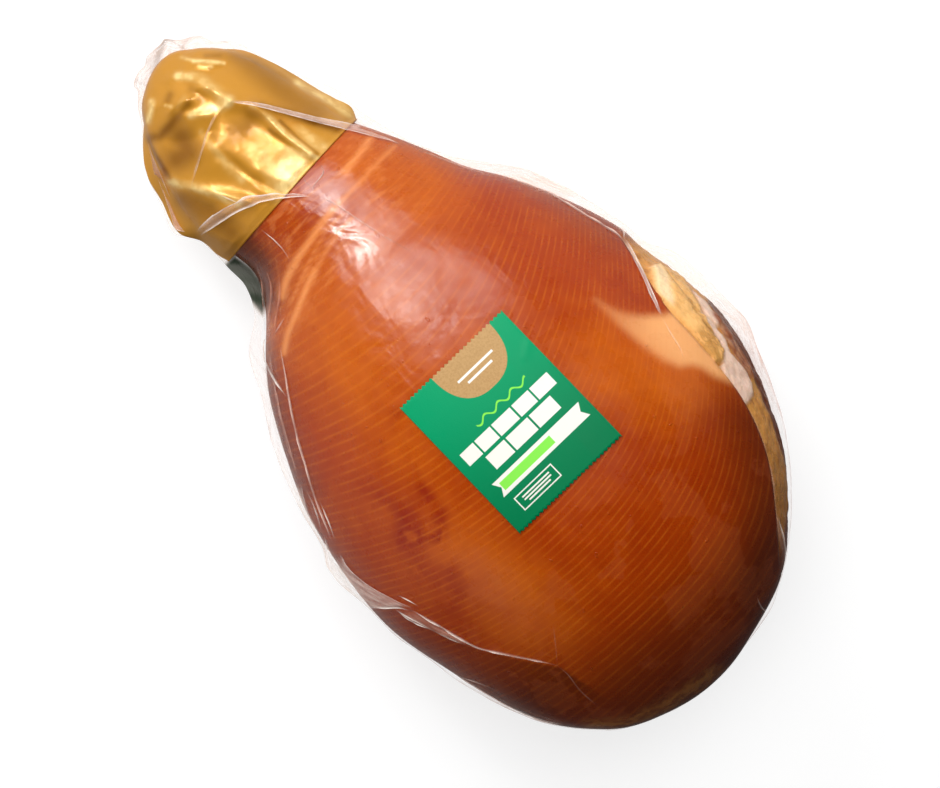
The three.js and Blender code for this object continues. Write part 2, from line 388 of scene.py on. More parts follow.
@dataclass(frozen=True)
class PackForm:
    """The pack's measured form: the leg, its gold cover and its film."""

    butt_x: float = 205.5
    rim_x: float = -157.5
    shank_x: float = -262.0
    label_middle: Pair = (20.5, 0.8)
    rind_step: float = 3.0
    trim_start: float = -20.0
    trim_end: float = 184.0
    trim_lower: float = -1.15
    leg: Sections = field(default_factory=lambda: Sections((
        (-165, -51, 45.5, 15, 93, 52), (-140, -49, 59, 9, 104, 53), (-120, -59, 69.5, 4, 112, 55),
        (-100, -76, 79.5, 1, 121, 57), (-80, -90, 93, -2, 131, 60), (-50, -105, 108, -5, 144, 63),
        (-20, -117, 119, -7, 155, 66), (20, -125, 128, -8, 165, 69), (60, -127, 131.5, -8, 170, 71),
        (100, -118.5, 122, -7, 168, 72), (140, -106.5, 103, -4, 157, 72), (160, -97, 86.5, 0, 146, 73),
        (180, -80, 64, 9, 126, 74), (190, -68, 48, 17, 112, 75), (200, -45, 19, 34, 93, 73),
        (205.5, -13, -13, 70, 70, 70),
    ), top=2.15, under=2.5))
    cover: Sections = field(default_factory=lambda: Sections((
        (-262, -6, -6, 44, 44, 44), (-256, -24, 9, 34, 56, 44), (-250, -32, 17, 28, 62, 44),
        (-240, -39, 26, 21, 70, 45), (-220, -49, 35, 15, 80, 46), (-200, -55, 41, 12, 87, 47),
        (-184, -57, 45, 11, 91, 49), (-170, -55, 47.5, 11.5, 94, 51), (-157.5, -52, 49.5, 12.5, 98, 52.5),
        (-150, -50.5, 53, 11.5, 101, 53),
    ), top=2.2, under=2.2))
    film_edges: Profile = field(default_factory=lambda: Profile((
        (-269.5, -5, 3), (-264, -26, 8), (-258, -29, 18), (-250, -35, 22), (-243, -39, 30), (-228, -51, 36),
        (-215, -57.5, 39), (-200, -62, 47), (-184, -66.5, 54.5), (-176, -60, 56), (-165, -58, 56.5),
        (-150, -57.5, 61), (-135, -57.5, 65.5), (-120, -65, 73), (-108, -80, 80), (-85, -92, 98),
        (-78, -96, 103), (-60, -106, 111), (-20, -120, 122.5), (0, -124, 126), (12, -130, 133),
        (40, -129, 136), (68, -127, 136.5), (85, -123.5, 130.5), (105, -119.5, 122.5), (130, -112, 110),
        (160, -98, 87), (180, -81, 65), (190, -69, 50), (197, -54, 36), (202, -38, 12), (205, -24, -6),
    )))
    foil_edges: Profile = field(default_factory=lambda: Profile((
        (-255, -22, 6), (-240, -40, 27), (-224, -54, 36.5), (-205, -60, 43), (-186, -64.5, 48),
        (-176, -58.5, 51), (-165, -57, 54.5), (-158, -55, 52),
    )))
    trim_edge: Profile = field(default_factory=lambda: Profile((
        (-20, 117), (10, 112), (30, 108.5), (60, 108), (100, 104.5), (130, 94), (160, 74), (184, 55),
    )))

    def trim_depth(self, x: Array) -> Array:
        """Give how far the trimmed side lies below the rind, from 0 where the rind is whole to 1."""
        start = smoothstep(x, self.trim_start, self.trim_start + 22)
        return start * (1 - smoothstep(x, self.trim_end - 25, self.trim_end))

    def shift(self) -> Array:
        """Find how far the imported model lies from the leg's own origin.

        Returns:
            The shift in millimetres, from the label's place in the frame.
        """
        low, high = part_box(Node.LABEL.value)
        middle = (low + high) / 2 / MM
        return np.array([middle.x - self.label_middle[0], middle.y - self.label_middle[1], 0])


FORM = PackForm()
SHIFT = FORM.shift()


FOIL_FOLDS: tuple[Crease, ...] = creases(
    ([(-217, 6), (-190, 28), (-163, 46)], 5, 4), ([(-208, 15), (-184, 17.5), (-160, 22)], 4, 3.2),
    ([(-245, 3), (-217, 7)], 6, 2.5), ([(-204, -18), (-190, -18), (-162, -12)], 5, 1.5),
    ([(-210, -47), (-190, -38), (-168, -24)], 5, 3.2), ([(-176, -56), (-170, -26)], 4, 2.5),
    ([(-247, -30), (-232, -8)], 4, 2.4),
)
FOIL_DETAILS: tuple[Crease, ...] = creases(
    ([(-208, 13.6), (-197, 15.5), (-183, 15.7), (-170, 18.3), (-157, 20.5)], 2.2, 2.0),
    ([(-198, 19), (-180, 21), (-161, 26)], 3.0, -1.8),
    ([(-235, -1.7), (-231, 2), (-224, 4.5), (-217, 7.4)], 2.4, 1.8),
    ([(-250, -9.6), (-246, -3.2), (-239, 0.8), (-232, 2.4)], 3.6, 2.4),
    ([(-253, 4.5), (-247, 6.6), (-241, 11), (-238, 16.6)], 2.6, 1.8),
    ([(-245, 2.7), (-237, 9.4), (-233, 18)], 3.0, -1.6),
    ([(-248, -26.6), (-244, -27.7), (-241, -32.4)], 1.9, 1.6),
    ([(-236, -22.6), (-236, -16.3), (-234, -10.5)], 2.4, 1.9),
    ([(-229, -19), (-224, -13), (-219, -6.3)], 2.8, 1.7),
    ([(-231, -36), (-222, -31.5), (-216, -24), (-213, -13)], 5.5, -2.8),
    ([(-242, -37), (-232, -42), (-220, -46), (-208, -48)], 2.4, 1.3),
    ([(-207, -49), (-199, -45), (-189, -37.6), (-178, -30), (-167, -22.5)], 2.6, 1.8),
    ([(-187, -44.6), (-174, -41.4), (-159, -36.8)], 4.2, -1.8),
    ([(-198, -19), (-183, -15), (-168, -10.7), (-157, -7)], 3.6, -1.8),
    ([(-177, -7.8), (-166, -2.7), (-156, 3)], 4.5, 1.5), ([(-197, 5), (-186, 8)], 7.5, -1.8),
    ([(-175, -53), (-165, -49.6), (-158, -46)], 2.2, 1.2),
    ([(-217, 7.4), (-217, -1.6), (-213.6, -13), (-206, -27), (-196, -42.6)], 1.0, 0.8),
    ([(-227, 30), (-212, 36), (-198, 41), (-182, 44)], 1.6, 1.2),
)
# Painted light on the foil: strokes above 0 are painted highlights where folds face the light, and strokes
# below 0 are painted shade under folds and in hollows.
FOIL_PAINTED_LIGHT: tuple[Stroke, ...] = strokes(
    ([(-200, 42), (-185, 47), (-168, 52)], 3.0, 0.9), ([(-222, 37), (-200, 42.5)], 1.4, 0.5),
    ([(-207, 13), (-200, 16), (-183, 16.8), (-160, 20.5)], 1.7, 0.8),
    ([(-169, 12), (-166, 5), (-161, -1)], 8.0, 1.1), ([(-172, -1), (-186, -3)], 6.0, 0.4),
    ([(-215, -17.5), (-200, -18), (-180, -18)], 3.0, 0.4), ([(-248, -5.5), (-243, -0.5)], 2.0, 1.2),
    ([(-240, 2), (-230, 4), (-218, 5.5)], 3.0, 0.45), ([(-255, 3), (-249, 6.5)], 1.1, 0.5),
    ([(-248, 7), (-241, 14), (-236, 18.5)], 1.2, 0.9), ([(-244, 7), (-239, 12)], 1.0, 0.6),
    ([(-227, -15), (-223, -8), (-219, 0), (-217.5, 6)], 2.6, 0.9), ([(-235, -11), (-234, -18)], 2.0, 0.4),
    ([(-247.5, -26), (-244, -30), (-241, -35)], 1.7, 1.0), ([(-240.5, -21.5), (-238, -20)], 1.2, 0.8),
    ([(-208, -48.5), (-202, -46), (-195, -41), (-185, -35), (-172, -28.5)], 2.8, 0.8),
    ([(-163, 27), (-180, 25)], 3.6, 0.4), ([(-235, 28), (-210, 31), (-180, 36)], 8.0, -0.55),
    ([(-203, 17.5), (-190, 26), (-178, 32.5), (-165, 40)], 2.4, -0.8),
    ([(-190, 19.6), (-175, 20.5), (-162, 22.6)], 1.0, -0.8),
    ([(-190, 12), (-178, 14.5), (-167, 18.5)], 1.6, -0.7),
    ([(-204, 11), (-199, 4), (-203, -4)], 6.0, -0.55),
    ([(-213, -14), (-195, -14), (-172, -11.5)], 2.0, -0.4),
    ([(-221, -27), (-212, -30), (-214, -37)], 8.0, -0.9),
    ([(-232, -12), (-231, -24), (-230, -36), (-234, -41)], 3.0, -0.8),
    ([(-240, -41), (-225, -44.5), (-209, -47.5)], 1.6, -0.8),
    ([(-195, -50), (-180, -44), (-163, -42)], 6.5, -0.75), ([(-243, -16), (-241, -20)], 2.4, -0.6),
    ([(-237, -5), (-229, -3)], 2.4, -0.35), ([(-246, 14), (-241, 19.5)], 1.8, -0.4),
    ([(-226, -53), (-205, -59)], 3.0, -0.3),
)
FOIL_HOLLOWS: tuple[tuple[float, float, float, float], ...] = (
    (-221, -31, 13, 5), (-203, 5, 13, 3), (-185, -22, 10, 2.5), (-192, 32, 12, 3), (-236, 20, 9, 2),
)


def fold_height(x: Array, y: Array, folds: Sequence[Crease]) -> Array:
    """Add up the heights of folds over points seen from above.

    Args:
        x: First coordinates of the points.
        y: Second coordinates of the points.
        folds: The folds.

    Returns:
        The heights.
    """
    height = np.zeros(np.shape(x))
    for fold in folds:
        away = distance_to_path(x, y, fold.path) / fold.width
        height += fold.height * (0.45 * bump(away, 1.0) + 0.55 * np.exp(0.3 - np.sqrt(2.2 * away**2 + 0.09)))
    return height


def foil_relief(x: Array, y: Array) -> Array:
    """Give the height of the foil's folds less its hollows over points seen from above."""
    relief = FOLD_SHARE * fold_height(x, y, FOIL_FOLDS) + DETAIL_SHARE * fold_height(x, y, FOIL_DETAILS)
    for hx, hy, radius, depth in FOIL_HOLLOWS:
        relief -= HOLLOW_SHARE * depth * bump(np.hypot(x - hx, y - hy), radius)
    return relief


def cover_points(x: Array, angle: Array, lift: float = 0.0) -> Array:
    """Find points on the folded gold cover.

    Args:
        x: Places along the leg.
        angle: Angles from +y over the top.
        lift: How far out of the cover's surface.

    Returns:
        The points, with x, y and z in a last axis.
    """
    points = FORM.cover.point(x, angle, -lift)
    facing = np.sin(angle)
    strength = np.where(facing > 0, facing, 0.5 * facing)
    calm = smoothstep(x, FORM.shank_x, FORM.shank_x + 12)
    points[..., 2] += calm * strength * foil_relief(points[..., 0], points[..., 1])
    return points


def pack_top(x: Array, y: Array) -> Array:
    """Give the height of the leg or its cover, whichever is higher, over points seen from above."""
    leg = FORM.leg.top(np.maximum(x, -165), y)
    cover = FORM.cover.top(x, y) + foil_relief(x, y)
    rim = FORM.rim_x - FORM.cover.lean(x) * y
    share = 1 - smoothstep(x - rim, -1.5, 2.5)
    return np.where(share > 0, leg + share * (np.maximum(cover, leg) - leg), leg)


def placed(points: Array) -> Array:
    """Move points from the leg's own origin into the frame, in metres."""
    return (points + SHIFT) * MM


class Workbench:
    """The hand tools that shape every new piece."""

    @staticmethod
    def deselect() -> None:
        """Deselect everything."""
        bpy.ops.object.select_all(action="DESELECT")

    @staticmethod
    def pick(piece: Piece) -> None:
        """Select one piece alone and make it active."""
        Workbench.deselect()
        piece.select_set(True)
        bpy.context.view_layer.objects.active = piece

    @staticmethod
    def grid(name: str, columns: int, rows: int) -> tuple[Piece, Array, Array]:
        """Add a flat grid to be shaped.

        Args:
            name: Name of the piece.
            columns: Cells along its first side.
            rows: Cells along its second side.

        Returns:
            The piece, and each vertex's share along the first and the second side.
        """
        Workbench.deselect()
        bpy.ops.mesh.primitive_grid_add(x_subdivisions=columns, y_subdivisions=rows, size=1)
        piece = bpy.context.object
        piece.name = name
        piece.data.name = name
        flat = np.zeros(len(piece.data.vertices) * 3, np.float32)
        piece.data.vertices.foreach_get("co", flat)
        along, across, _ = flat.reshape(-1, 3).T + 0.5
        return piece, np.round(along * columns) / columns, np.round(across * rows) / rows

    @staticmethod
    def shape(piece: Piece, points: Array) -> None:
        """Move every vertex of a piece, each to its row of points in metres."""
        piece.data.vertices.foreach_set("co", points.astype(np.float32).ravel())
        piece.data.update()

    @staticmethod
    def paint(piece: Piece, **values: Array) -> None:
        """Store values for every vertex, for the piece's finish to read.

        Args:
            piece: The piece.
            values: One value a vertex, under the name that the finish reads.
        """
        for name, each in values.items():
            attribute = piece.data.attributes.new(name, "FLOAT", "POINT")
            attribute.data.foreach_set("value", np.ascontiguousarray(each, np.float32))

    @staticmethod
    def close(piece: Piece, gap: float = 0.01) -> None:
        """Merge a piece's meeting edges and turn its faces outwards.

        Args:
            piece: The piece.
            gap: Vertices nearer than this, in millimetres, become one.
        """
        Workbench.pick(piece)
        bpy.ops.object.mode_set(mode="EDIT")
        bpy.ops.mesh.select_all(action="SELECT")
        bpy.ops.mesh.remove_doubles(threshold=gap * MM)
        bpy.ops.mesh.select_all(action="SELECT")
        bpy.ops.mesh.normals_make_consistent(inside=False)
        bpy.ops.object.mode_set(mode="OBJECT")

    @staticmethod
    def wall(piece: Piece, thickness: float, offset: float = -1.0) -> None:
        """Give a sheet its thickness.

        Args:
            piece: The piece.
            thickness: The wall in millimetres.
            offset: -1 grows it inwards and 1 outwards.
        """
        Workbench.pick(piece)
        solidify = piece.modifiers.new("wall", "SOLIDIFY")
        solidify.thickness = thickness * MM
        solidify.offset = offset
        solidify.use_even_offset = False
        bpy.ops.object.modifier_apply(modifier=solidify.name)

    @staticmethod
    def roughen(piece: Piece, name: str, size: float, strength: float, group: str = "") -> None:
        """Push a piece's surface in and out by soft clouds.

        Args:
            piece: The piece.
            name: Name of the clouds.
            size: Size of the lumps in millimetres.
            strength: How far from the deepest to the highest, in millimetres.
            group: Vertex group that limits it, or none.
        """
        Workbench.pick(piece)
        clouds = bpy.data.textures.new(name, "CLOUDS")
        clouds.noise_scale = size * MM
        clouds.noise_depth = 2
        displace = piece.modifiers.new(name, "DISPLACE")
        displace.texture = clouds
        displace.texture_coords = "LOCAL"
        displace.direction = "NORMAL"
        displace.strength = strength * MM
        displace.mid_level = 0.5
        displace.vertex_group = group
        bpy.ops.object.modifier_apply(modifier=displace.name)

    @staticmethod
    def group(piece: Piece, name: str, values: Array) -> None:
        """Make a vertex group with a weight for every vertex.

        Args:
            piece: The piece.
            name: Name of the group.
            values: One weight a vertex, from 0 to 1. They are kept in even steps.
        """
        made = piece.vertex_groups.new(name=name)
        steps = np.round(np.clip(values, 0, 1) * WEIGHT_STEPS).astype(int)
        for step in np.unique(steps[steps > 0]):
            made.add(np.nonzero(steps == step)[0].tolist(), float(step) / WEIGHT_STEPS, "REPLACE")

    @staticmethod
    def join(name: str, parts: Sequence[Piece]) -> Piece:
        """Join parts into one piece.

        Args:
            name: Name of the joined piece.
            parts: The parts.

        Returns:
            The piece.
        """
        Workbench.pick(parts[0])
        for part in parts:
            part.select_set(True)
        bpy.ops.object.join()
        piece = bpy.context.object
        piece.name = name
        piece.data.name = name
        return piece

    @staticmethod
    def dress(piece: Piece, material: Material, slot: Slot, *nodes: Node) -> None:
        """Smooth a piece, give it its finish and let it stand for its solids.

        Args:
            piece: The piece.
            material: Its finish.
            slot: The record's slot of that finish. It is not used.
            nodes: The solids that it stands for.
        """
        Workbench.pick(piece)
        bpy.ops.object.shade_smooth()
        piece.data.materials.clear()
        piece.data.materials.append(material)
        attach(piece, "root")
        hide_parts(*(node.value for node in nodes))
        LOG.info("%s: %d faces", piece.name, len(piece.data.polygons))


class Graph:
    """A shader tree that is being wired up."""

    def __init__(self, tree: NodeTree) -> None:
        """Keep the node tree of a material, a world or a group."""
        self.tree = tree

    def node(self, kind: str, **settings: object) -> ShaderNode:
        """Add a node.

        Args:
            kind: Blender's name for the kind of node.
            settings: Its settings.

        Returns:
            The node.
        """
        made = self.tree.nodes.new(kind)
        for name, value in settings.items():
            setattr(made, name, value)
        return made

    def plug(self, value: object, socket: Socket) -> None:
        """Link an output to a socket, or set the socket to a constant.

        Args:
            value: An output socket, a number or a colour.
            socket: The socket that takes it.
        """
        if isinstance(value, Socket):
            self.tree.links.new(value, socket)
        elif isinstance(value, tuple) and socket.type == "RGBA":
            socket.default_value = (*value[:3], 1)
        else:
            socket.default_value = value

    def fill(self, node: ShaderNode, values: dict[str | int, object]) -> None:
        """Plug values into a node's sockets by their names or numbers."""
        for name, value in values.items():
            self.plug(value, node.inputs[name])

    def math(self, operation: str, *values: object, clamp: bool = False) -> Socket:
        """Add a math node.

        Args:
            operation: What it does.
            values: Its inputs.
            clamp: Whether the result stays from 0 to 1.

        Returns:
            Its result.
        """
        made = self.node("ShaderNodeMath", operation=operation, use_clamp=clamp)
        for value, socket in zip(values, made.inputs):
            self.plug(value, socket)
        return made.outputs[0]

    def times(self, *values: object) -> Socket:
        """Multiply values."""
        return reduce(lambda first, second: self.math("MULTIPLY", first, second), values)

    def plus(self, *values: object) -> Socket:
        """Add values."""
        return reduce(lambda first, second: self.math("ADD", first, second), values)

    def most(self, *values: object) -> Socket:
        """Take the greatest of some values."""
        return reduce(lambda first, second: self.math("MAXIMUM", first, second), values)

    def past(self, value: object, middle: float, half: float) -> Socket:
        """Measure how far a value lies past either end of a range."""
        away = self.math("ABSOLUTE", self.math("SUBTRACT", value, middle))
        return self.math("SUBTRACT", away, half)

    def mix(self, share: object, first: object, second: object) -> Socket:
        """Mix two colours.

        Args:
            share: How much of the second.
            first: The first colour.
            second: The second colour.

        Returns:
            The mixed colour.
        """
        made = self.node("ShaderNodeMix", data_type="RGBA", blend_type="MIX", clamp_factor=True)
        self.fill(made, {"Factor": share, 6: first, 7: second})
        return made.outputs[2]

    def layers(self, colour: object, *layers: tuple[object, object]) -> Socket:
        """Lay colours over a colour.

        Args:
            colour: The lowest colour.
            layers: How much of a colour shows, and the colour, from the lowest up.

        Returns:
            The mixed colour.
        """
        for share, over in layers:
            colour = self.mix(share, colour, over)
        return colour

    def rise(self, value: object, low: float, high: float, bottom: float = 0.0, top: float = 1.0) -> Socket:
        """Map a value smoothly from one range to another.

        Args:
            value: The value.
            low: Start of its range.
            high: End of its range.
            bottom: Result at the start.
            top: Result at the end.

        Returns:
            The mapped value.
        """
        made = self.node("ShaderNodeMapRange", interpolation_type="SMOOTHSTEP")
        for number, socket in zip((value, low, high, bottom, top), made.inputs):
            self.plug(number, socket)
        return made.outputs[0]

    def noise(
        self,
        place: Socket,
        size: float,
        detail: float = 2.0,
        roughness: float = 0.5,
        stretch: Triple = (1, 1, 1),
        distortion: float = 0.0,
    ) -> Socket:
        """Add noise.

        Args:
            place: Where it is read.
            size: Size of its lumps in millimetres.
            detail: How many finer sizes are laid over it.
            roughness: How strong those are.
            stretch: How much shorter its lumps are along each axis.
            distortion: How much it is warped.

        Returns:
            A value around a half.
        """
        mapping = self.node("ShaderNodeMapping")
        self.fill(mapping, {"Vector": place, "Scale": stretch})
        made = self.node("ShaderNodeTexNoise")
        finer = {"Detail": detail, "Roughness": roughness, "Distortion": distortion}
        self.fill(made, {"Vector": mapping.outputs[0], "Scale": 1 / (size * MM), **finer})
        return made.outputs["Fac"]

    def painted(self, name: str) -> Socket:
        """Read a value that was stored for every vertex."""
        return self.node("ShaderNodeAttribute", attribute_name=name).outputs["Fac"]

    def here(self) -> Socket:
        """Read the place on the piece."""
        return self.node("ShaderNodeTexCoord").outputs["Object"]

    def wrapped(self, film: NodeTree, place: Socket) -> tuple[Socket, Socket]:
        """Read the clinging film's relief.

        Args:
            film: The shared fine relief of film.
            place: Where it is read.

        Returns:
            The height of its wrinkles and the mask of its specks.
        """
        wrap = self.node("ShaderNodeGroup", node_tree=film)
        self.plug(place, wrap.inputs["Place"])
        return wrap.outputs["Wrinkles"], wrap.outputs["Specks"]

    def bump(self, height: object, distance: float) -> Socket:
        """Turn a height into a normal.

        Args:
            height: The height, from 0 to 1.
            distance: How much relief a height of 1 is, in millimetres.

        Returns:
            The normal.
        """
        made = self.node("ShaderNodeBump")
        self.fill(made, {"Strength": 1.0, "Distance": distance * MM, "Height": height})
        return made.outputs[0]


def new_material(name: str) -> tuple[Material, Graph, ShaderNode]:
    """Start a material.

    Args:
        name: Its name.

    Returns:
        The material, its graph and its surface node.
    """
    material = bpy.data.materials.new(name)
    material.use_nodes = True
    return material, Graph(material.node_tree), material.node_tree.nodes["Principled BSDF"]


def film_wrinkle_group() -> NodeTree:
    """Build the fine relief of clinging film, which every wrapped surface shares.

    Returns:
        The node group. It takes the place and puts out the height of fine wrinkles and a mask of specks.
    """
    tree = bpy.data.node_groups.new("clinging_film", "ShaderNodeTree")
    tree.interface.new_socket("Place", in_out="INPUT", socket_type="NodeSocketVector")
    tree.interface.new_socket("Wrinkles", in_out="OUTPUT", socket_type="NodeSocketFloat")
    tree.interface.new_socket("Specks", in_out="OUTPUT", socket_type="NodeSocketFloat")
    graph = Graph(tree)
    place = graph.node("NodeGroupInput").outputs["Place"]
    broad = graph.noise(place, 24, 2, 0.45, (1, 1.4, 1), 0.6)
    fine = graph.noise(place, 5, 2, 0.5)
    wrinkles = graph.plus(graph.times(broad, 0.9), graph.times(fine, 0.1))
    ends = graph.node("NodeGroupOutput")
    graph.fill(ends, {"Wrinkles": wrinkles, "Specks": graph.rise(fine, 0.72, 0.76)})
    return tree


@dataclass(frozen=True)
class RindFinish:
    """Smoked rind under film, and the fat and meat at the trimmed side, with painted shade and painted film
    reflections laid on.
    """

    amber: Colour = srgb(190, 88, 12)
    deep: Colour = srgb(160, 55, 2)
    blotch: Colour = srgb(136, 28, 6)
    # Colour of the painted shade where the rind turns away from the light.
    dusk: Colour = srgb(88, 30, 5)
    # Colour of the painted reflections of the loose film.
    painted_film_reflection: Colour = srgb(196, 104, 60)
    line: Colour = srgb(214, 118, 30)
    pale: Colour = srgb(236, 168, 106)
    crease: Colour = srgb(240, 154, 88)
    tan: Colour = srgb(216, 150, 76)
    brown: Colour = srgb(166, 100, 42)
    late: Colour = srgb(168, 110, 52)
    roll: Colour = srgb(242, 184, 112)
    cream: Colour = srgb(250, 214, 166)
    scorch: Colour = srgb(206, 146, 74)
    crack: Colour = srgb(140, 84, 32)
    pink: Colour = srgb(242, 206, 184)
    meat: Colour = srgb(150, 74, 34)
    marbling: Colour = srgb(214, 156, 112)
    strip: Colour = srgb(214, 162, 132)
    # Dark brown of the trimmed side's outer edge: its own smoked colour, darkened further by painted shade
    # where it turns under.
    outer: Colour = srgb(108, 46, 12)
    shine: float = 0.31
    glow: float = 0.08
    glow_reach: Triple = (1.0, 0.35, 0.15)
    glow_depth: float = 0.004

    def _lines(self, graph: Graph, place: Socket) -> Socket:
        """Draw the fine light lines that cross the rind.

        Args:
            graph: The material's graph.
            place: The place on the piece.

        Returns:
            A mask of the lines.
        """
        wobble = graph.times(graph.noise(place, 26, 2), 0.25)
        turn = graph.math("FRACT", graph.plus(graph.painted("line_phase"), wobble))
        away = graph.math("ABSOLUTE", graph.math("SUBTRACT", turn, 0.5))
        broken = graph.rise(graph.noise(place, 16, 3, 0.6), 0.3, 0.65, 0.3, 1.0)
        return graph.times(graph.rise(away, 0.2, 0.02), broken)

    def _rind(self, graph: Graph, place: Socket, lines: Socket) -> Socket:
        """Colour the rind.

        Args:
            graph: The material's graph.
            place: The place on the piece.
            lines: The mask of the lines.

        Returns:
            The rind's colour.
        """
        clouds = graph.noise(place, 55, 3, 0.55, (1, 1.3, 1), 0.5)
        tone = graph.math("ADD", graph.painted("tone"), graph.rise(clouds, 0.34, 0.68, -0.2, 0.2), clamp=True)
        mottle = graph.rise(graph.noise(place, 9, 4, 0.6), 0.38, 0.75, 0.0, 0.2)
        spots = graph.rise(graph.noise(place, 10, 3, 0.6), 0.3, 0.55)
        streaks = graph.rise(graph.noise(place, 4, 3, 0.6, (1, 0.12, 1)), 0.45, 0.7)
        # Faint patches of painted reflection from the loose film. They show only towards the butt.
        patches = graph.rise(graph.noise(place, 52, 5, 0.6), 0.54, 0.555, 0.0, 0.1)
        tan = graph.plus(graph.rise(graph.noise(place, 6, 4, 0.6), 0.4, 0.62), 0.35)
        # Painted shade on the rind.
        dusk = graph.times(graph.painted("dusk"), 0.9)
        pale = graph.painted("pale")
        seen = graph.math("SUBTRACT", 0.27, graph.times(graph.most(dusk, pale), 0.2), clamp=True)
        return graph.layers(
            graph.mix(tone, self.deep, self.amber),
            (mottle, self.blotch),
            (graph.times(graph.painted("blotch"), spots, 0.85), self.blotch),
            (graph.times(streaks, graph.painted("neck"), 0.25), self.crease),
            (dusk, self.dusk),
            (graph.times(patches, graph.painted("cloudy")), self.painted_film_reflection),
            (graph.times(graph.painted("crease"), 0.72), self.crease),
            (graph.times(pale, 0.95), self.pale),
            (graph.times(lines, seen), self.line),
            (graph.math("MULTIPLY", graph.painted("butt_edge"), tan, clamp=True), self.brown),
        )

    def _flesh(self, graph: Graph, place: Socket) -> Socket:
        """Colour the fat and meat of the trimmed side.

        Args:
            graph: The material's graph.
            place: The place on the piece.

        Returns:
            The flesh's colour.
        """
        speckle = graph.rise(graph.noise(place, 6, 5, 0.62, (0.7, 1, 1)), 0.46, 0.66)
        fibres = graph.noise(place, 4, 4, 0.62, (0.45, 1.2, 1))
        grain = graph.rise(fibres, 0.4, 0.68)
        off_line = graph.math("ABSOLUTE", graph.math("SUBTRACT", fibres, 0.5))
        cracks = graph.times(graph.rise(off_line, 0.03, 0.01), graph.painted("scorch"), 0.4)
        faint = graph.times(speckle, 0.3)
        tongue = graph.layers(
            graph.mix(graph.times(speckle, 0.45), self.roll, self.scorch),
            (graph.painted("cream"), graph.mix(faint, self.cream, self.roll)),
            (graph.painted("scorch"), graph.mix(grain, self.scorch, self.roll)),
            (cracks, self.crack),
        )
        return graph.layers(
            graph.mix(graph.times(speckle, 0.75), self.tan, self.brown),
            (graph.times(graph.painted("late"), 0.85), self.late),
            (graph.painted("roll"), graph.mix(faint, self.roll, self.tan)),
            (graph.painted("tongue"), tongue),
            (graph.painted("pink"), graph.mix(graph.times(grain, 0.25), self.pink, self.marbling)),
            (graph.painted("meat"), graph.mix(graph.times(grain, 0.7), self.meat, self.marbling)),
            (graph.painted("outer"), graph.mix(faint, self.outer, self.brown)),
            (graph.painted("strip"), self.strip),
            # Painted shade in the gap, in the cracks' colour.
            (graph.painted("gap"), self.crack),
        )

    def build(self, film: NodeTree) -> Material:
        """Build the material.

        Args:
            film: The shared fine relief of film.

        Returns:
            The material.
        """
        material, graph, surface = new_material("smoked_rind")
        place = graph.here()
        lines = self._lines(graph, place)
        flesh = graph.painted("flesh")
        wrinkles, specks = graph.wrapped(film, place)
        relief = graph.plus(graph.times(wrinkles, 0.6), graph.times(specks, 0.2))
        flesh_relief = graph.times(graph.noise(place, 4, 4, 0.6), graph.times(flesh, 0.7))
        surface_values = {
            "Base Color": graph.mix(flesh, self._rind(graph, place, lines), self._flesh(graph, place)),
            "Normal": graph.bump(graph.plus(relief, flesh_relief), 1.1),
            "Roughness": graph.rise(graph.noise(place, 7, 3), 0.3, 0.7, 0.25, 0.33),
            "Specular IOR Level": self.shine,
            "Subsurface Weight": self.glow,
            "Subsurface Radius": self.glow_reach,
            "Subsurface Scale": self.glow_depth,
        }
        graph.fill(surface, surface_values)
        return material


@dataclass(frozen=True)
class FoilFinish:
    """Satin gold metallised film, with painted highlights and painted shade laid over its colour."""

    gold: Colour = srgb(206, 143, 46)
    # Colour of the painted shade in the foil's hollows and under its folds.
    hollow: Colour = srgb(136, 84, 0)
    # Colour of the painted highlights.
    shine: Colour = srgb(252, 216, 140)
    metallic: float = 0.26
    specular: float = 0.35

    def build(self, film: NodeTree) -> Material:
        """Build the material.

        Args:
            film: The shared fine relief of film.

        Returns:
            The material.
        """
        material, graph, surface = new_material("gold_foil")
        place = graph.here()
        # Noise breaks up the painted highlight. Painted shade and painted highlight are laid over the gold.
        uneven = graph.rise(graph.noise(place, 6, 2), 0.35, 0.65, 0.55, 1.2)
        shine = graph.math("MULTIPLY", graph.painted("shine"), uneven, clamp=True)
        hollow = graph.painted("hollow")
        surface_values = {
            "Base Color": graph.layers(self.gold, (hollow, self.hollow), (shine, self.shine)),
            "Metallic": self.metallic,
            "Specular IOR Level": self.specular,
            "Roughness": graph.rise(graph.noise(place, 9, 2), 0.3, 0.7, 0.28, 0.36),
            "Normal": graph.bump(graph.wrapped(film, place)[0], 0.8),
        }
        graph.fill(surface, surface_values)
        return material


@dataclass(frozen=True)
class FilmFinish:
    """Clear glossy film that clings to what it wraps."""

    tint: Colour = (1.0, 0.97, 0.94)
    roughness: float = 0.2
    clear: float = 0.004
    edge: float = 0.03
    edge_width: float = 0.35
    edge_power: float = 2.6

    def build(self, film: NodeTree) -> Material:
        """Build the material.

        Args:
            film: The shared fine relief of film.

        Returns:
            The material.
        """
        material, graph, surface = new_material("clear_film")
        facing = graph.node("ShaderNodeLayerWeight")
        facing.inputs["Blend"].default_value = self.edge_width
        rim = graph.times(graph.math("POWER", facing.outputs["Facing"], self.edge_power), self.edge)
        surface_values = {
            "Base Color": self.tint,
            "Metallic": 1.0,
            "Roughness": self.roughness,
            "Normal": graph.bump(graph.wrapped(film, graph.here())[0], 2.2),
            "Alpha": graph.plus(rim, graph.painted("gloss"), self.clear),
        }
        graph.fill(surface, surface_values)
        return material


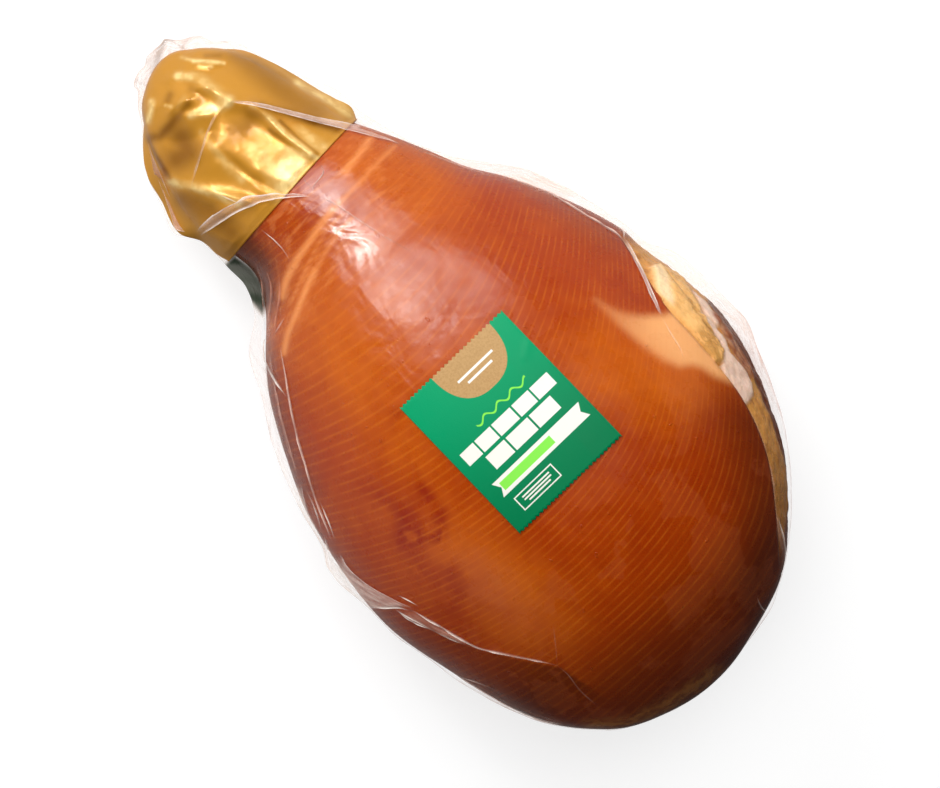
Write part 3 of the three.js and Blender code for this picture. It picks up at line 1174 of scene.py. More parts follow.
@dataclass(frozen=True)
class FoldedFilmFinish:
    """The same film where it is folded on itself and turns milky, with painted shadow and a painted glow."""

    colour: Colour = (0.93, 0.88, 0.82)
    warm: Colour = srgb(214, 142, 112)
    # Colour of the painted shadow: a dark sheet where the film tents over the neck's hollow, and grey lines
    # in crumpled film.
    shadow: Colour = srgb(44, 54, 42)
    roughness: float = 0.22
    clear: float = 0.012
    # Painted glow: the folded film gives off a little light of its own colour, in place of light scattered
    # through the folds.
    glow: float = 0.2

    def build(self) -> Material:
        """Build the material.

        Returns:
            The material.
        """
        material, graph, surface = new_material("folded_film")
        # Painted shadow: where shade is painted, the film turns dark and nearly opaque.
        shade = graph.painted("shade")
        colour = graph.layers(self.colour, (graph.painted("warm"), self.warm), (shade, self.shadow))
        lengthwise = graph.node("ShaderNodeCombineXYZ")
        graph.fill(lengthwise, {0: graph.painted("run"), 1: graph.painted("side")})
        streaks = graph.noise(lengthwise.outputs[0], 1000, 3, 0.6, (0.09, 0.55, 1))
        milky = graph.times(graph.painted("haze"), graph.rise(streaks, 0.32, 0.68, 0.45, 1.25))
        surface_values = {
            "Base Color": colour,
            # The painted glow.
            "Emission Color": colour,
            "Emission Strength": self.glow,
            "Metallic": 0.0,
            "Roughness": self.roughness,
            "Normal": graph.bump(streaks, 0.9),
            "Alpha": graph.math("ADD", graph.most(milky, shade), self.clear, clamp=True),
        }
        graph.fill(surface, surface_values)
        return material


Box = tuple[float, float, float, float]


@dataclass(frozen=True)
class PaperFinish:
    """Printed paper: a green field with plain blocks, bands and a kraft field.

    Each box holds its middle along and across the label and its half sizes, in millimetres.
    """

    green: Colour = srgb(0, 150, 98)
    # Darker green for the painted shade along the label.
    deep: Colour = srgb(0, 118, 72)
    kraft: Colour = srgb(186, 148, 98)
    fibre: Colour = srgb(160, 120, 72)
    white: Colour = srgb(236, 233, 224)
    lime: Colour = srgb(132, 226, 78)
    specular: float = 0.16
    banner: Box = (70.0, 1.5, 4.8, 33.0)
    blocks: tuple[Box, ...] = (
        (45.5, -28.0, 4.2, 5.0), (45.5, -16.0, 4.2, 5.8), (45.5, -2.0, 4.2, 7.0), (45.5, 12.5, 4.2, 6.2),
        (45.5, 26.5, 4.2, 6.6), (56.5, -16.5, 4.6, 7.0), (56.5, 0.0, 4.6, 8.2), (56.5, 17.5, 4.6, 8.0),
        (12.0, 7.0, 0.7, 13.0), (16.0, 7.0, 0.7, 9.0),
    )
    frame_outside: Box = (83.5, -14.0, 4.6, 14.0)
    frame_inside: Box = (83.5, -14.0, 3.9, 13.3)
    rules: tuple[Box, ...] = ((81.8, -14.0, 0.45, 10.0), (83.6, -14.0, 0.45, 10.0), (85.4, -14.0, 0.45, 8.0))
    wave: Box = (36.0, 4.0, 0.55, 19.0)
    stripe: Box = (70.0, -9.0, 2.6, 19.0)

    def _box(self, graph: Graph, u: object, v: object, box: Box, soft: float = 0.12) -> Socket:
        """Draw an upright box on the label.

        Args:
            graph: The material's graph.
            u: Place along the label in millimetres.
            v: Place across it.
            box: Its middle along and across, and its half sizes.
            soft: How soft its edge is.

        Returns:
            A mask of the box.
        """
        middle_u, middle_v, half_u, half_v = box
        outside = graph.most(graph.past(u, middle_u, half_u), graph.past(v, middle_v, half_v))
        return graph.rise(outside, soft, -soft)

    def _white(self, graph: Graph, along: Socket, across: Socket) -> Socket:
        """Draw the white print: a banner with notched ends, blocks, rules and a framed box.

        Args:
            graph: The material's graph.
            along: Place along the label in millimetres.
            across: Place across it.

        Returns:
            A mask of the print.
        """
        def drawn(box: Box) -> Socket:
            """Draw one of the boxes."""
            return self._box(graph, along, across, box)

        slant = graph.times(graph.math("ABSOLUTE", graph.math("SUBTRACT", along, 70.0)), 0.6)
        notch = graph.math("SUBTRACT", graph.past(across, 1.5, 30.0), slant)
        banner = graph.times(drawn(self.banner), graph.rise(notch, 0.12, -0.12))
        border = graph.math("SUBTRACT", drawn(self.frame_outside), drawn(self.frame_inside), clamp=True)
        blocks, rules = ([drawn(box) for box in boxes] for boxes in (self.blocks, self.rules))
        return graph.most(banner, *blocks, border, *rules)

    def build(self) -> Material:
        """Build the material.

        Returns:
            The material.
        """
        material, graph, surface = new_material("label_paper")
        place = graph.here()
        along = graph.painted("along")
        across = graph.painted("across")
        fibres = graph.rise(graph.noise(place, 1.2, 3, 0.6), 0.4, 0.65, 0.0, 0.4)
        round_u = graph.math("DIVIDE", along, 27.0)
        round_v = graph.math("DIVIDE", graph.math("SUBTRACT", across, 7.0), 22.0)
        sizes = (graph.math("ABSOLUTE", side) for side in (round_u, round_v))
        reach = graph.plus(*(graph.math("POWER", size, 2.4) for size in sizes))
        waving = graph.plus(along, graph.times(graph.math("SINE", graph.times(across, 0.62)), 1.5))
        wave = self._box(graph, waving, across, self.wave, 0.2)
        surface_values = {
            "Base Color": graph.layers(
                # The green darkens along the label: painted shade.
                graph.mix(graph.rise(along, 0, 95), self.green, self.deep),
                (graph.rise(reach, 1.012, 0.988), graph.mix(fibres, self.kraft, self.fibre)),
                (self._white(graph, along, across), self.white),
                (graph.most(wave, self._box(graph, along, across, self.stripe)), self.lime),
            ),
            "Roughness": graph.rise(graph.noise(place, 3, 2), 0.3, 0.7, 0.38, 0.46),
            "Specular IOR Level": self.specular,
            "Normal": graph.bump(graph.noise(place, 0.9, 2), 0.05),
        }
        graph.fill(surface, surface_values)
        return material


@dataclass
class HamLeg:
    """The leg of ham, with its rind and its trimmed side."""

    start_x: float = -174.0
    rings: int = 290
    trim_steps: int = 110
    round_steps: int = 215
    lip: float = 0.014
    crowding: float = 1.35
    underside: float = 0.5
    end_insets: tuple[float, ...] = (200.0, 14.0, 5.0, 1.5)
    lump_size: float = 9.0
    lump_depth: float = 2.2
    arc_radius: float = 100.0
    line_reach: float = 160.0
    line_terms: tuple[tuple[int, int, float], ...] = (
        (0, 1, 2.12), (0, 2, 5.91), (0, 3, 1.87), (0, 4, 1.39), (1, 0, 19.24), (1, 1, 1.6), (1, 2, 1.66),
        (1, 3, 0.17), (2, 0, 3.93), (2, 1, -1.29), (2, 2, -2.22), (3, 0, 0.8), (4, 0, -1.05),
    )
    pale_patch: Path = (
        (2, 80.8), (20, 81), (40, 83.5), (52, 86), (61, 90), (65, 96), (70, 99), (78, 101), (88, 106),
        (88, 112), (37, 112), (35, 104), (32, 100), (27, 94), (20, 88), (12, 84),
    )
    neck_creases: tuple[Stroke, ...] = strokes(
        ([(-150, 53), (-147.5, 45), (-146, 38), (-144, 27)], 1.8, 0.9),
        ([(-136.5, 57), (-136, 47), (-134.5, 30), (-133, 10), (-131.5, 0)], 1.5, 0.6),
        ([(-133, 8), (-131, -3), (-129, -12), (-126.5, -25), (-122, -38), (-117, -46)], 2.0, 1.0),
        ([(-122.5, 12), (-121, 0), (-118, -12), (-112, -30)], 1.2, 0.6),
        ([(-115, -22), (-112, -30), (-105, -45), (-99, -58), (-93, -66)], 1.8, 0.95),
        ([(-128, 10), (-126, -6), (-119, -26), (-112, -42)], 0.8, 0.5),
    )
    blotches: tuple[Stroke, ...] = strokes(
        ([(15, -60), (21, -61)], 4, 1.0), ([(32, -62), (39, -71)], 5, 1.0),
        ([(20, -77), (28, -87)], 7, 1.0), ([(33, -78)], 6, 0.9), ([(40, -88), (50, -92)], 8, 0.6),
        ([(60, -80), (72, -88)], 8, 0.7), ([(-7, -82), (10, -79)], 5, 0.6), ([(-25, -42)], 4, 0.6),
        ([(118, 12)], 12, 0.4), ([(-141, 6), (-138, -14)], 8, 0.5), ([(5, 97), (25, 95)], 9, 0.5),
        ([(125, 60), (90, 45)], 16, 0.35),
    )
    amber_places: tuple[Stroke, ...] = strokes(
        ([(-140, 45), (-115, 55)], 24, 1.0), ([(-100, -38), (-60, -45)], 36, 0.8),
        ([(35, 62), (62, 84)], 26, 1.1), ([(50, -64), (110, -60)], 26, 0.8),
        ([(-90, 10), (-20, 0)], 50, 0.45), ([(-10, -60)], 26, 0.35),
    )
    # Painted shade along edges of the rind that turn away from the light.
    dusky_places: tuple[Stroke, ...] = strokes(
        ([(112, 100), (130, 92), (150, 79), (165, 68), (182, 52)], 24, 0.75),
        ([(-156, -42), (-138, -44), (-125, -54)], 11, 1.1),
        ([(-100, -74), (-60, -98), (-30, -109)], 9, 0.5), ([(-60, 108), (-20, 112)], 14, 0.25),
    )
    butt_edge: Path = (
        (206, -2), (207, -30), (197, -62), (178, -86), (172, -82), (186, -64), (193, -38), (198, -8),
    )
    tongue: Path = (
        (9.4, 118.2), (11.5, 116.4), (18.3, 112.4), (23.9, 108), (72.5, 107), (75.6, 111.2), (71.8, 115.8),
        (65.1, 117.9), (55.7, 119), (41.7, 120.4), (26.4, 121.2), (11.4, 122.5),
    )
    cream: Path = (
        (9.4, 118.2), (18.3, 112.4), (24.4, 109.7), (33.7, 110.6), (31.6, 113.5), (25.1, 116.7),
        (19.4, 120.9), (11.9, 122.1),
    )
    scorched: Path = (
        (52.1, 107), (74, 107), (75.6, 111.2), (71.8, 115.8), (65.1, 117.9), (56.2, 118.5), (54.4, 114.5),
    )
    roll: Path = (
        (11.4, 122.5), (21.6, 127.4), (29.5, 127.8), (37.1, 125.6), (44.6, 123.5), (52.2, 119.3),
        (37.8, 120.2), (19.1, 122.1),
    )
    gap: Path = (
        (18.9, 122.4), (28.3, 121.3), (37.8, 120.2), (45.3, 119), (53.3, 117.4), (61.2, 117.8),
        (67.6, 117.5),
    )
    pink: tuple[Path, ...] = (
        ((33.5, 128), (43.4, 128.4), (53.3, 127.8), (59.3, 127.1), (59.5, 123.1), (49.1, 123.2),
         (42.1, 124.9)),
        ((45.6, 122.5), (55.5, 123), (67.5, 121.5), (74.5, 118.8), (85.4, 118.3), (95.4, 116.7),
         (100.3, 112.7), (102, 104), (86, 104), (76.9, 109), (73.7, 114.8), (67.1, 118), (59.6, 119.2),
         (52.2, 119.3)),
    )
    meat: Path = (
        (50.8, 129.2), (60.7, 128.6), (72.2, 126.6), (84.2, 124.2), (94.8, 120.2), (91.9, 117.1),
        (79.9, 119.5), (70, 121.1), (60.4, 124.2), (51.9, 126.3),
    )
    outer_edge: Path = (
        (46.3, 129.5), (56.8, 128.5), (68.7, 127), (78.7, 125.4), (89.2, 122.4), (95.8, 119.5),
        (111.9, 113.4), (128, 107.3), (143.1, 100.1), (158.6, 87.4), (168.5, 74.5), (179.2, 62.5),
    )
    strip: Path = (
        (108, 104), (115, 101.5), (125, 98), (140, 90), (155, 80), (163, 73.5), (172, 67.5), (181, 61),
    )
    # Outline of the low flank below the film's fold, where painted shade falls.
    flank: Path = (
        (50, -119), (66, -111.5), (80, -106), (93, -101), (103, -96), (119, -85.5), (132, -76),
        (139, -70.5), (178, -62), (178, -120), (100, -140), (44, -140),
    )
    seam: Path = ((-10, -24), (40, -34), (90, -30), (150, -18), (180, -8))
    lumps: tuple[tuple[str, float], ...] = (
        ("tongue", 3.2), ("roll", 1.8), ("gap", -1.8), ("pink", 1.3), ("meat", 0.6),
    )

    def _flank(self, path: Path) -> Path:
        """Lay a path seen from above onto the flank, as x and the arc from the widest line."""
        x, y = np.array(path, float).T
        return list(zip(x.tolist(), (self.arc_radius * FORM.leg.angle_at(x, y)).tolist()))

    def _stroke(self, x: Array, arc: Array, path: Path, width: float, soft: float) -> Array:
        """Paint a line on the flank, of half a width and half a soft edge, through x and arc."""
        return 1 - smoothstep(distance_to_path(x, arc, path), width - soft, width + soft)

    def _zones(self, x: Array, angle: Array) -> dict[str, Array]:
        """Paint the fat and meat of the trimmed side.

        Args:
            x: Places along the leg.
            angle: Angles on the section.

        Returns:
            A mask for each kind of flesh.
        """
        arc = self.arc_radius * angle
        outer = [*self._flank(self.outer_edge), (196, -45), (36, -45)]
        seam = self._stroke(x, arc, self.seam, 4.5, 3.0)
        patches = {
            "tongue": (self.tongue, 1.0),
            "cream": (self.cream, 2.2),
            "scorch": (self.scorched, 2.5),
            "roll": (self.roll, 1.2),
            "meat": (self.meat, 2.0),
        }
        masks = {name: patch_mask(x, arc, self._flank(path), soft) for name, (path, soft) in patches.items()}
        masks["meat"] = np.maximum(masks["meat"], 0.7 * smoothstep(-arc, 34, 60))
        # Painted shade in the gap between the roll and the tongue.
        masks["gap"] = 0.75 * self._stroke(x, arc, self._flank(self.gap), 0.8, 0.8)
        # The outer edge: its own dark brown, with painted shade where it turns under.
        masks["outer"] = patch_mask(x, arc, outer, 2.5) * (1 - 0.9 * seam)
        masks["strip"] = 0.9 * self._stroke(x, arc, self._flank(self.strip), 1.2, 1.0)
        pinks = [patch_mask(x, arc, self._flank(path), 1.2) for path in self.pink]
        masks["pink"] = np.maximum.reduce([0.9 * seam, *pinks])
        return masks

    def _inset(self, x: Array, share: Array, zones: dict[str, Array]) -> Array:
        """Give how far the trimmed side lies below the rind.

        Args:
            x: Places along the leg.
            share: Shares down the trimmed side.
            zones: The masks of its fat and meat.

        Returns:
            The depth.
        """
        lumps = sum(height * zones[name] for name, height in self.lumps)
        ends = smoothstep(1 - share, 0, 0.25)
        return FORM.trim_depth(x) * (FORM.rind_step * ends - lumps)

    def _colours(self, piece: Piece, points: Array, flesh: Array) -> None:
        """Store what the finish needs to know at every vertex.

        Args:
            piece: The leg.
            points: Its vertices.
            flesh: 1 on the trimmed side and 0 on the rind.
        """
        x, y, z = points.T
        u, v = np.minimum(x, self.line_reach) / 100, y / 100
        phase = sum(share * u**i * v**j for i, j, share in self.line_terms)
        slope = sum(share * i * u ** max(i - 1, 0) * v**j for i, j, share in self.line_terms)
        phase += slope * np.maximum(x - self.line_reach, 0) / 100
        above = smoothstep(z, 60, 80)
        pale = patch_mask(x, y, self.pale_patch, 3.6) * above * (0.55 + 0.45 * smoothstep(x, 8, 38))
        edge = patch_mask(x, y, self.butt_edge, 4.0) * smoothstep(z - FORM.leg.at(x)[2], 2, 22)
        # Painted shade under the fold of the low flank, and darkening towards the butt end, which faces away
        # from the light.
        painted_fold_shade = patch_mask(x, y, self.flank, 1.0) * (0.3 + 0.35 * smoothstep(x, 60, 130))
        painted_fold_shade *= 1 - smoothstep(x, 140, 176)
        dusk = 0.9 * smoothstep(x - 0.2 * y, 120, 215) + painted_fold_shade + painted_strokes(x, y, self.dusky_places)
        crossings = [painted_strokes(x, y, [crossing]) for crossing in self.neck_creases]
        Workbench.paint(
            piece,
            line_phase=phase + 60,
            pale=pale * (0.72 + 0.28 * smoothstep(y, 84, 100)),
            neck=(1 - smoothstep(x, -112, -84)) * smoothstep(-y, -62, -30) * above,
            crease=np.maximum.reduce(crossings) * above,
            blotch=np.clip(painted_strokes(x, y, self.blotches), 0, 1) * above,
            tone=np.clip(painted_strokes(x, y, self.amber_places), 0, 1),
            cloudy=smoothstep(x, 20, 80),
            # Where the painted film reflections show.
            late=smoothstep(x, 105, 168),
            butt_edge=edge,
            dusk=np.clip(dusk, 0, 1),
            flesh=flesh,
        )

    def build(self, material: Material) -> Piece:
        """Build the leg.

        Args:
            material: Its finish.

        Returns:
            The piece.
        """
        steps = self.trim_steps + self.round_steps + 1
        piece, along, around = Workbench.grid("ham_leg", self.rings, steps)
        x = FORM.butt_x - (FORM.butt_x - self.start_x) * (1 - along) ** self.crowding
        edge = FORM.leg.angle_at(x, FORM.trim_edge(x)[:, 0])
        step = np.round(around * steps)
        share = np.clip(step / self.trim_steps, 0, 1)
        trimmed = step <= self.trim_steps
        round_share = (step - self.trim_steps) / self.round_steps
        turn = 2 * math.pi - (edge + self.lip - FORM.trim_lower)
        down_trim = edge + (FORM.trim_lower - edge) * share
        angle = np.where(trimmed, down_trim, FORM.trim_lower - turn * round_share)
        wrapped = step == steps
        angle = np.where(wrapped, edge, angle)
        share = np.where(wrapped, 0, share)
        on_trim = trimmed | wrapped
        zones = self._zones(x, angle)
        inset = np.where(on_trim, self._inset(x, share, zones), 0.0)
        ring = np.round(along * self.rings)
        closing = np.array(self.end_insets)
        inset = np.where(ring < len(closing), closing[np.clip(ring, 0, len(closing) - 1).astype(int)], inset)
        points = FORM.leg.point(x, angle, inset)
        points[:, 2] = np.maximum(points[:, 2], self.underside)
        flesh = np.where(on_trim, FORM.trim_depth(x) * smoothstep(1 - share, 0, 0.12), 0.0)
        Workbench.paint(piece, **{name: np.clip(mask, 0, 1) for name, mask in zones.items()})
        self._colours(piece, points, flesh)
        Workbench.shape(piece, placed(points))
        Workbench.group(piece, "flesh_relief", flesh * smoothstep(points[:, 2], 8, 30))
        Workbench.close(piece)
        Workbench.roughen(piece, "flesh_lumps", self.lump_size, self.lump_depth, "flesh_relief")
        Workbench.dress(piece, material, Slot.RIND, Node.BAGGED_HAM)
        return piece


@dataclass
class ShankCover:
    """The gold cover over the shank, folded and pressed flat at its sides."""

    rings: int = 168
    steps: int = 280
    wall: float = 0.5
    crowding: float = 1.3
    seam_reach: float = 0.34
    seam_start: Pair = (-255.0, -244.0)
    seam_flatness: float = 0.85
    rim_lift: float = 1.0
    rim_reach: float = 5.0
    crumple_size: float = 15.0
    crumple_depth: float = 0.7

    def build(self, material: Material) -> Piece:
        """Build the cover.

        Args:
            material: Its finish.

        Returns:
            The piece.
        """
        piece, along, around = Workbench.grid("gold_cover", self.rings, self.steps)
        x = FORM.shank_x + (FORM.rim_x - FORM.shank_x) * along**self.crowding
        angle = 2 * math.pi * around
        points = cover_points(x, angle)
        at_rim = smoothstep(x, FORM.rim_x - self.rim_reach, FORM.rim_x)[:, None]
        points += at_rim * (FORM.leg.point(x, angle, -self.rim_lift) - points)
        low, high = FORM.foil_edges(x).T
        _, _, wide, _, _ = FORM.cover.at(x)
        pinched = smoothstep(x, *self.seam_start)
        for edge, facing in ((high, np.cos(angle)), (low, -np.cos(angle))):
            near = smoothstep(facing, math.cos(self.seam_reach), 1.0) ** 1.5 * pinched
            reach = np.maximum(0, np.abs(edge) - np.abs(points[:, 1])) * np.sign(edge)
            points[:, 1] += near * reach
            points[:, 2] += near * self.seam_flatness * (wide - points[:, 2])
        # Painted light on the top of the foil: strokes below 0 are stored as painted shade, and strokes above
        # 0 as painted highlight (shine).
        tone = painted_strokes(points[:, 0], points[:, 1], FOIL_PAINTED_LIGHT) * smoothstep(points[:, 2], 45, 60)
        Workbench.paint(piece, hollow=np.clip(-tone, 0, 1), shine=np.clip(tone, 0, 1))
        Workbench.shape(piece, placed(points))
        Workbench.close(piece)
        Workbench.roughen(piece, "foil_crumple", self.crumple_size, self.crumple_depth)
        Workbench.wall(piece, self.wall)
        Workbench.dress(piece, material, Slot.FOIL, Node.SHANK_COVER)
        return piece


@dataclass
class FilmBag:
    """The clear bag: the skin that clings, the rim of spare film and the folds."""

    lift: float = 0.3
    cover_gap: float = 0.25
    fold_gap: float = 0.15
    underside: float = 0.1
    crowding: float = 1.25
    rings: int = 230
    steps: int = 260
    wall: float = 0.12
    margin: float = 1.2
    outline_ends: Pair = (205.0, -269.5)
    outline_points: int = 900
    rim_step: float = 1.0
    rim_rows: int = 14
    rim_width: float = 9.0
    tail_spread: float = 5.0
    tail_spot: Pair = (-266.0, 20.0)
    crumpled_spot: Pair = (25.0, 30.0)
    glosses: tuple[Stroke, ...] = strokes(
        ([(-120, 2), (-108, 6)], 9, 0.05), ([(-140, 15)], 7, 0.02), ([(-250, 10), (-170, 10)], 40, 0.008),
    )
    rim_haze: tuple[Triple, ...] = (
        (-270, 0.6, 0.5), (-250, 0.5, 0.4), (-228, 0.45, 0.25), (-200, 0.6, 0.25), (-165, 0.65, 0.2),
        (-150, 0.7, 0.1), (-120, 0.7, 0.12), (-100, 0.7, 0.2), (-40, 0.65, 0.25), (-12, 0.65, 0.5),
        (10, 0.65, 0.65), (45, 0.55, 0.25), (80, 0.5, 0.06), (110, 0.2, 0.06), (128, 0.08, 0.25),
        (148, 0.05, 0.25), (160, 0.05, 0.06), (205, 0.05, 0.05),
    )
    # Outline of the painted shadow where the film tents over the shaded hollow of the neck.
    painted_shadow_web: Path = (
        (-153, -50), (-141, -47.5), (-129, -49), (-120, -56), (-117, -61.5), (-130, -61), (-137, -60),
        (-153, -60),
    )
    folds: tuple[Crease, ...] = creases(
        ([(-147, 5), (-140, 8.5), (-133, 11), (-120, 14), (-105, 18), (-95, 21),
         (-84, 24.5)], 1.0, 1.1, 0.45, 0.2),
        ([(-158, 20), (-152, 18), (-150, 9), (-147, 4.5)], 1.0, 0.8, 0.7),
        ([(-158, 8), (-154, 7), (-148, 8)], 0.8, 0.5, 0.5),
        ([(-217.5, 5), (-216.5, -3), (-213, -13), (-208, -22), (-203, -31),
         (-197, -41)], 1.6, 0.5, 0.3, 1, 2),
        ([(-186, -34.5), (-178, -31), (-172, -28), (-169, -24)], 0.9, 0.6, 0.7),
        ([(-189, -64.5), (-183, -61), (-177, -57)], 1.3, 0.9, 0.85),
        ([(-153, -29), (-147, -28), (-142, -27.3), (-135, -27.5), (-127, -29)], 1.2, 0.8, 0.9, 0.3),
        ([(-131, -61), (-124, -62), (-118, -62.5), (-112, -67)], 1.3, 0.6, 0.85),
        ([(-107, -52), (-105.5, -58), (-104, -63)], 1.4, 0.6, 0.5),
        ([(-115, -70), (-100, -76), (-88, -79.5), (-72, -81.5)], 1.5, 0.9, 0.8),
        ([(-112, -67), (-103, -75), (-95, -83)], 1.5, 0.6, 0.7),
        ([(-100, -82), (-85, -92), (-70, -99), (-52, -105)], 1.6, 0.5, 0.6, 1, 2),
        ([(-20, -106.5), (-10, -109.5), (5, -116)], 0.9, 0.7, 0.85),
        ([(-3, -118), (4, -121.5), (10, -125)], 1.3, 0.8, 0.9),
        ([(-30, -108), (-22, -110), (-12, -114), (-4, -119)], 1.2, 0.6, 0.6),
        ([(43, -127.5), (49, -120.5), (54, -114.5), (61, -110)], 1.4, 1.2, 0.9, 0.9, 1, 0.1),
        ([(58, -110.5), (70, -106.5), (80, -103.5), (90, -100.5), (100, -97), (110, -90), (120, -83),
         (130, -75.5), (137, -71)], 1.4, 1.3, 0.95, 0.3, 1, 0.25),
        ([(53, -116.5), (60, -114.8), (68, -112), (77, -108.5)], 1.9, 1.1, 0.95, 0.8, 2, 0.05),
        ([(76, -109), (86, -105), (97, -99.5)], 1.0, 0.6, 0.5, 0.6),
        ([(49, -110), (55, -107.5), (61, -105.5)], 0.8, 0.6, 0.9, 1, 1, 0.1),
        ([(137, -71), (145, -70), (155, -71), (170, -70)], 0.7, 0.3, 0.12, 1, 1, 0.6),
        ([(137, -71), (128, -64), (118, -57)], 0.7, 0.3, 0.1, 1, 1, 0.6),
        ([(95, -119), (105, -116.5), (112, -112), (120, -108), (128, -105)], 0.9, 0.5, 0.4, 0.6, 1, 0.4),
        ([(-80, 92.5), (-70, 97.5), (-60, 102.5), (-50, 105.5), (-40, 108), (-25, 112.5), (-15, 115),
         (-8, 114.5)], 1.3, 0.9, 0.7, 1, 1, 0.5),
        ([(-128, 69), (-115, 75.5), (-100, 84), (-90, 91)], 1.0, 0.5, 0.6, 1, 1, 0.6),
        ([(-82, 97), (-70, 102.5), (-60, 105.7), (-50, 107.8), (-40, 111)], 1.1, 0.5, 0.6, 1, 1, 0.6),
        ([(-22, 121), (-16, 119.5), (-10, 114.5)], 1.2, 1.0, 0.8),
        ([(15, 107.5), (20, 105.5), (27, 103.5)], 0.9, 0.6, 0.6, 1, 1, 0.0),
        ([(-97, -65), (-85, -72.5), (-72, -81), (-55, -91), (-40, -98.5), (-25, -106), (-10, -112),
         (3, -117)], 1.7, 0.9, 0.8, 0.8, 1, 0.5),
        ([(-100, -71), (-88, -79), (-70, -90), (-52, -99.5), (-34, -108)], 1.4, 0.5, 0.4, 0.8, 2, 0.7),
        ([(-135, -42), (-125, -46), (-115, -57), (-106, -66)], 1.6, 0.7, 0.4, 1, 1, 1.0),
        ([(-141, -44), (-128, -50), (-118, -60), (-110, -68)], 1.4, 0.7, 0.35, 1, 1, 0.9),
        ([(-128, -38), (-118, -46), (-110, -56), (-101, -65)], 1.6, 0.5, 0.3, 1, 1, 1.0),
        ([(33, 102), (45, 98.5), (55, 96.5), (62, 93)], 0.8, 0.4, 0.25),
        ([(158, 75), (168, 69.8), (175, 66), (183, 59)], 1.2, 0.8, 0.75),
        ([(185, 35.6), (190, 34), (198, 34)], 1.2, 0.9, 0.7),
    )
    strips: tuple[Web, ...] = webs(
        (
            [(-217, 7), (-205, 17.5), (-190, 27.5), (-175, 37.5), (-165, 45), (-155, 52), (-145, 57.5),
             (-135, 63)],
            [(-216.5, 6), (-204, 15.5), (-189, 25), (-174, 34.5), (-164, 41), (-154, 47.5), (-144, 54),
             (-135, 60.5)],
            0.34, (0.4, 0.55), 0.45,
        ),
        (
            [(-177, -57), (-176.5, -45), (-174, -33), (-170, -22), (-163, -12), (-155, -3), (-147, 4)],
            [(-174, -57), (-171.5, -46), (-169, -33), (-165, -22), (-159, -12), (-153, -4), (-146, 4.5)],
            0.12, (0.75, 0.7),
        ),
        (
            [(-233, -42), (-222, -46), (-212, -49.5), (-200, -54), (-186, -59), (-178, -57.5)],
            [(-222, -49), (-213, -53), (-203, -57), (-194, -61), (-186, -64.5), (-179, -60)],
            0.36, (0.55, 0.5), 0.7,
        ),
        (
            [(-33, -108), (-25, -112), (-15, -117), (-5, -120)],
            [(-38, -113), (-28, -117), (-15, -121), (4, -126)],
            0.5, (0.4, 0.3),
        ),
        (
            [(10, -118), (20, -119.5), (35, -117.5), (48, -113), (60, -108.5)],
            [(10, -127), (20, -128), (32, -127.5), (43, -126.5), (52, -117)],
            0.42, (0.55, 0.3), 0.45,
        ),
        (
            [(60, -110), (70, -106.5), (80, -103.5), (90, -100.5), (100, -97)],
            [(54, -116), (62, -114), (72, -110.5), (84, -105.5), (97, -99)],
            0.2, (0.0, 0.0), 0.8,
        ),
        (
            [(100, -118), (118, -113), (135, -107), (152, -99), (165, -91)],
            [(104, -120), (120, -116.5), (137, -110), (153, -102), (166, -93)],
            0.25, (0.35, 0.3), 0.6,
        ),
        (
            [(-12, 117), (0, 113.5), (10, 110.5), (20, 107), (30, 103.5), (34, 102)],
            [(-12, 115), (0, 111.5), (10, 108.5), (20, 105), (30, 102), (34, 101.5)],
            0.2, (0.5, 0.45), 0.35,
        ),
    )

    def _skin(self, material: Material) -> Piece:
        """Build the film that clings to the leg and its cover.

        Args:
            material: Its finish.

        Returns:
            The piece.
        """
        piece, along, around = Workbench.grid("film_skin", self.rings, self.steps)
        x = FORM.butt_x - (FORM.butt_x - FORM.shank_x) * (1 - along) ** self.crowding
        angle = 2 * math.pi * around
        leg = FORM.leg.point(x, angle, -self.lift)
        cover = cover_points(x, angle, self.lift + self.cover_gap)
        share = (1 - smoothstep(x, FORM.rim_x - 1, FORM.rim_x + 3))[:, None]
        points = leg + share * (cover - leg)
        tip = x <= FORM.shank_x + 1e-6
        points[tip] = (FORM.shank_x - self.lift, *cover[tip][0, 1:])
        last = along > 1 - 0.5 / self.rings
        points[last] = points[last].mean(axis=0)
        points[:, 2] = np.maximum(points[:, 2], self.underside)
        gloss = painted_strokes(points[:, 0], points[:, 1], self.glosses) * smoothstep(points[:, 2], 50, 70)
        Workbench.paint(piece, gloss=gloss)
        Workbench.shape(piece, placed(points))
        Workbench.close(piece)
        Workbench.dress(piece, material, Slot.FILM, Node.BAGGED_HAM)
        # The skin is nearly clear, so it casts no shadow and takes no part in the soft light.
        piece.visible_shadow = False
        piece.visible_diffuse = False
        return piece

    def _outline(self) -> tuple[Array, Array]:
        """Walk round the film's outer edge.

        Returns:
            The outer points and the widest line's height there.
        """
        there = np.linspace(*self.outline_ends, self.outline_points)
        x = np.concatenate([there, there[::-1]])
        low, high = FORM.film_edges(x).T
        y = np.where(np.arange(len(x)) < self.outline_points, high, low)
        lengths = np.concatenate([[0], np.cumsum(np.hypot(np.diff(x), np.diff(y)))])
        keep = np.concatenate([[True], np.diff(lengths) > 1e-9])
        along = np.arange(0, lengths[-1], self.rim_step)
        x = np.interp(along, lengths[keep], x[keep])
        y = np.interp(along, lengths[keep], y[keep])
        leg_wide = FORM.leg.at(x)[2]
        cover_wide = FORM.cover.at(x)[2]
        share = smoothstep(x, -170, -150)
        return np.column_stack([x, y]), cover_wide + share * (leg_wide - cover_wide)

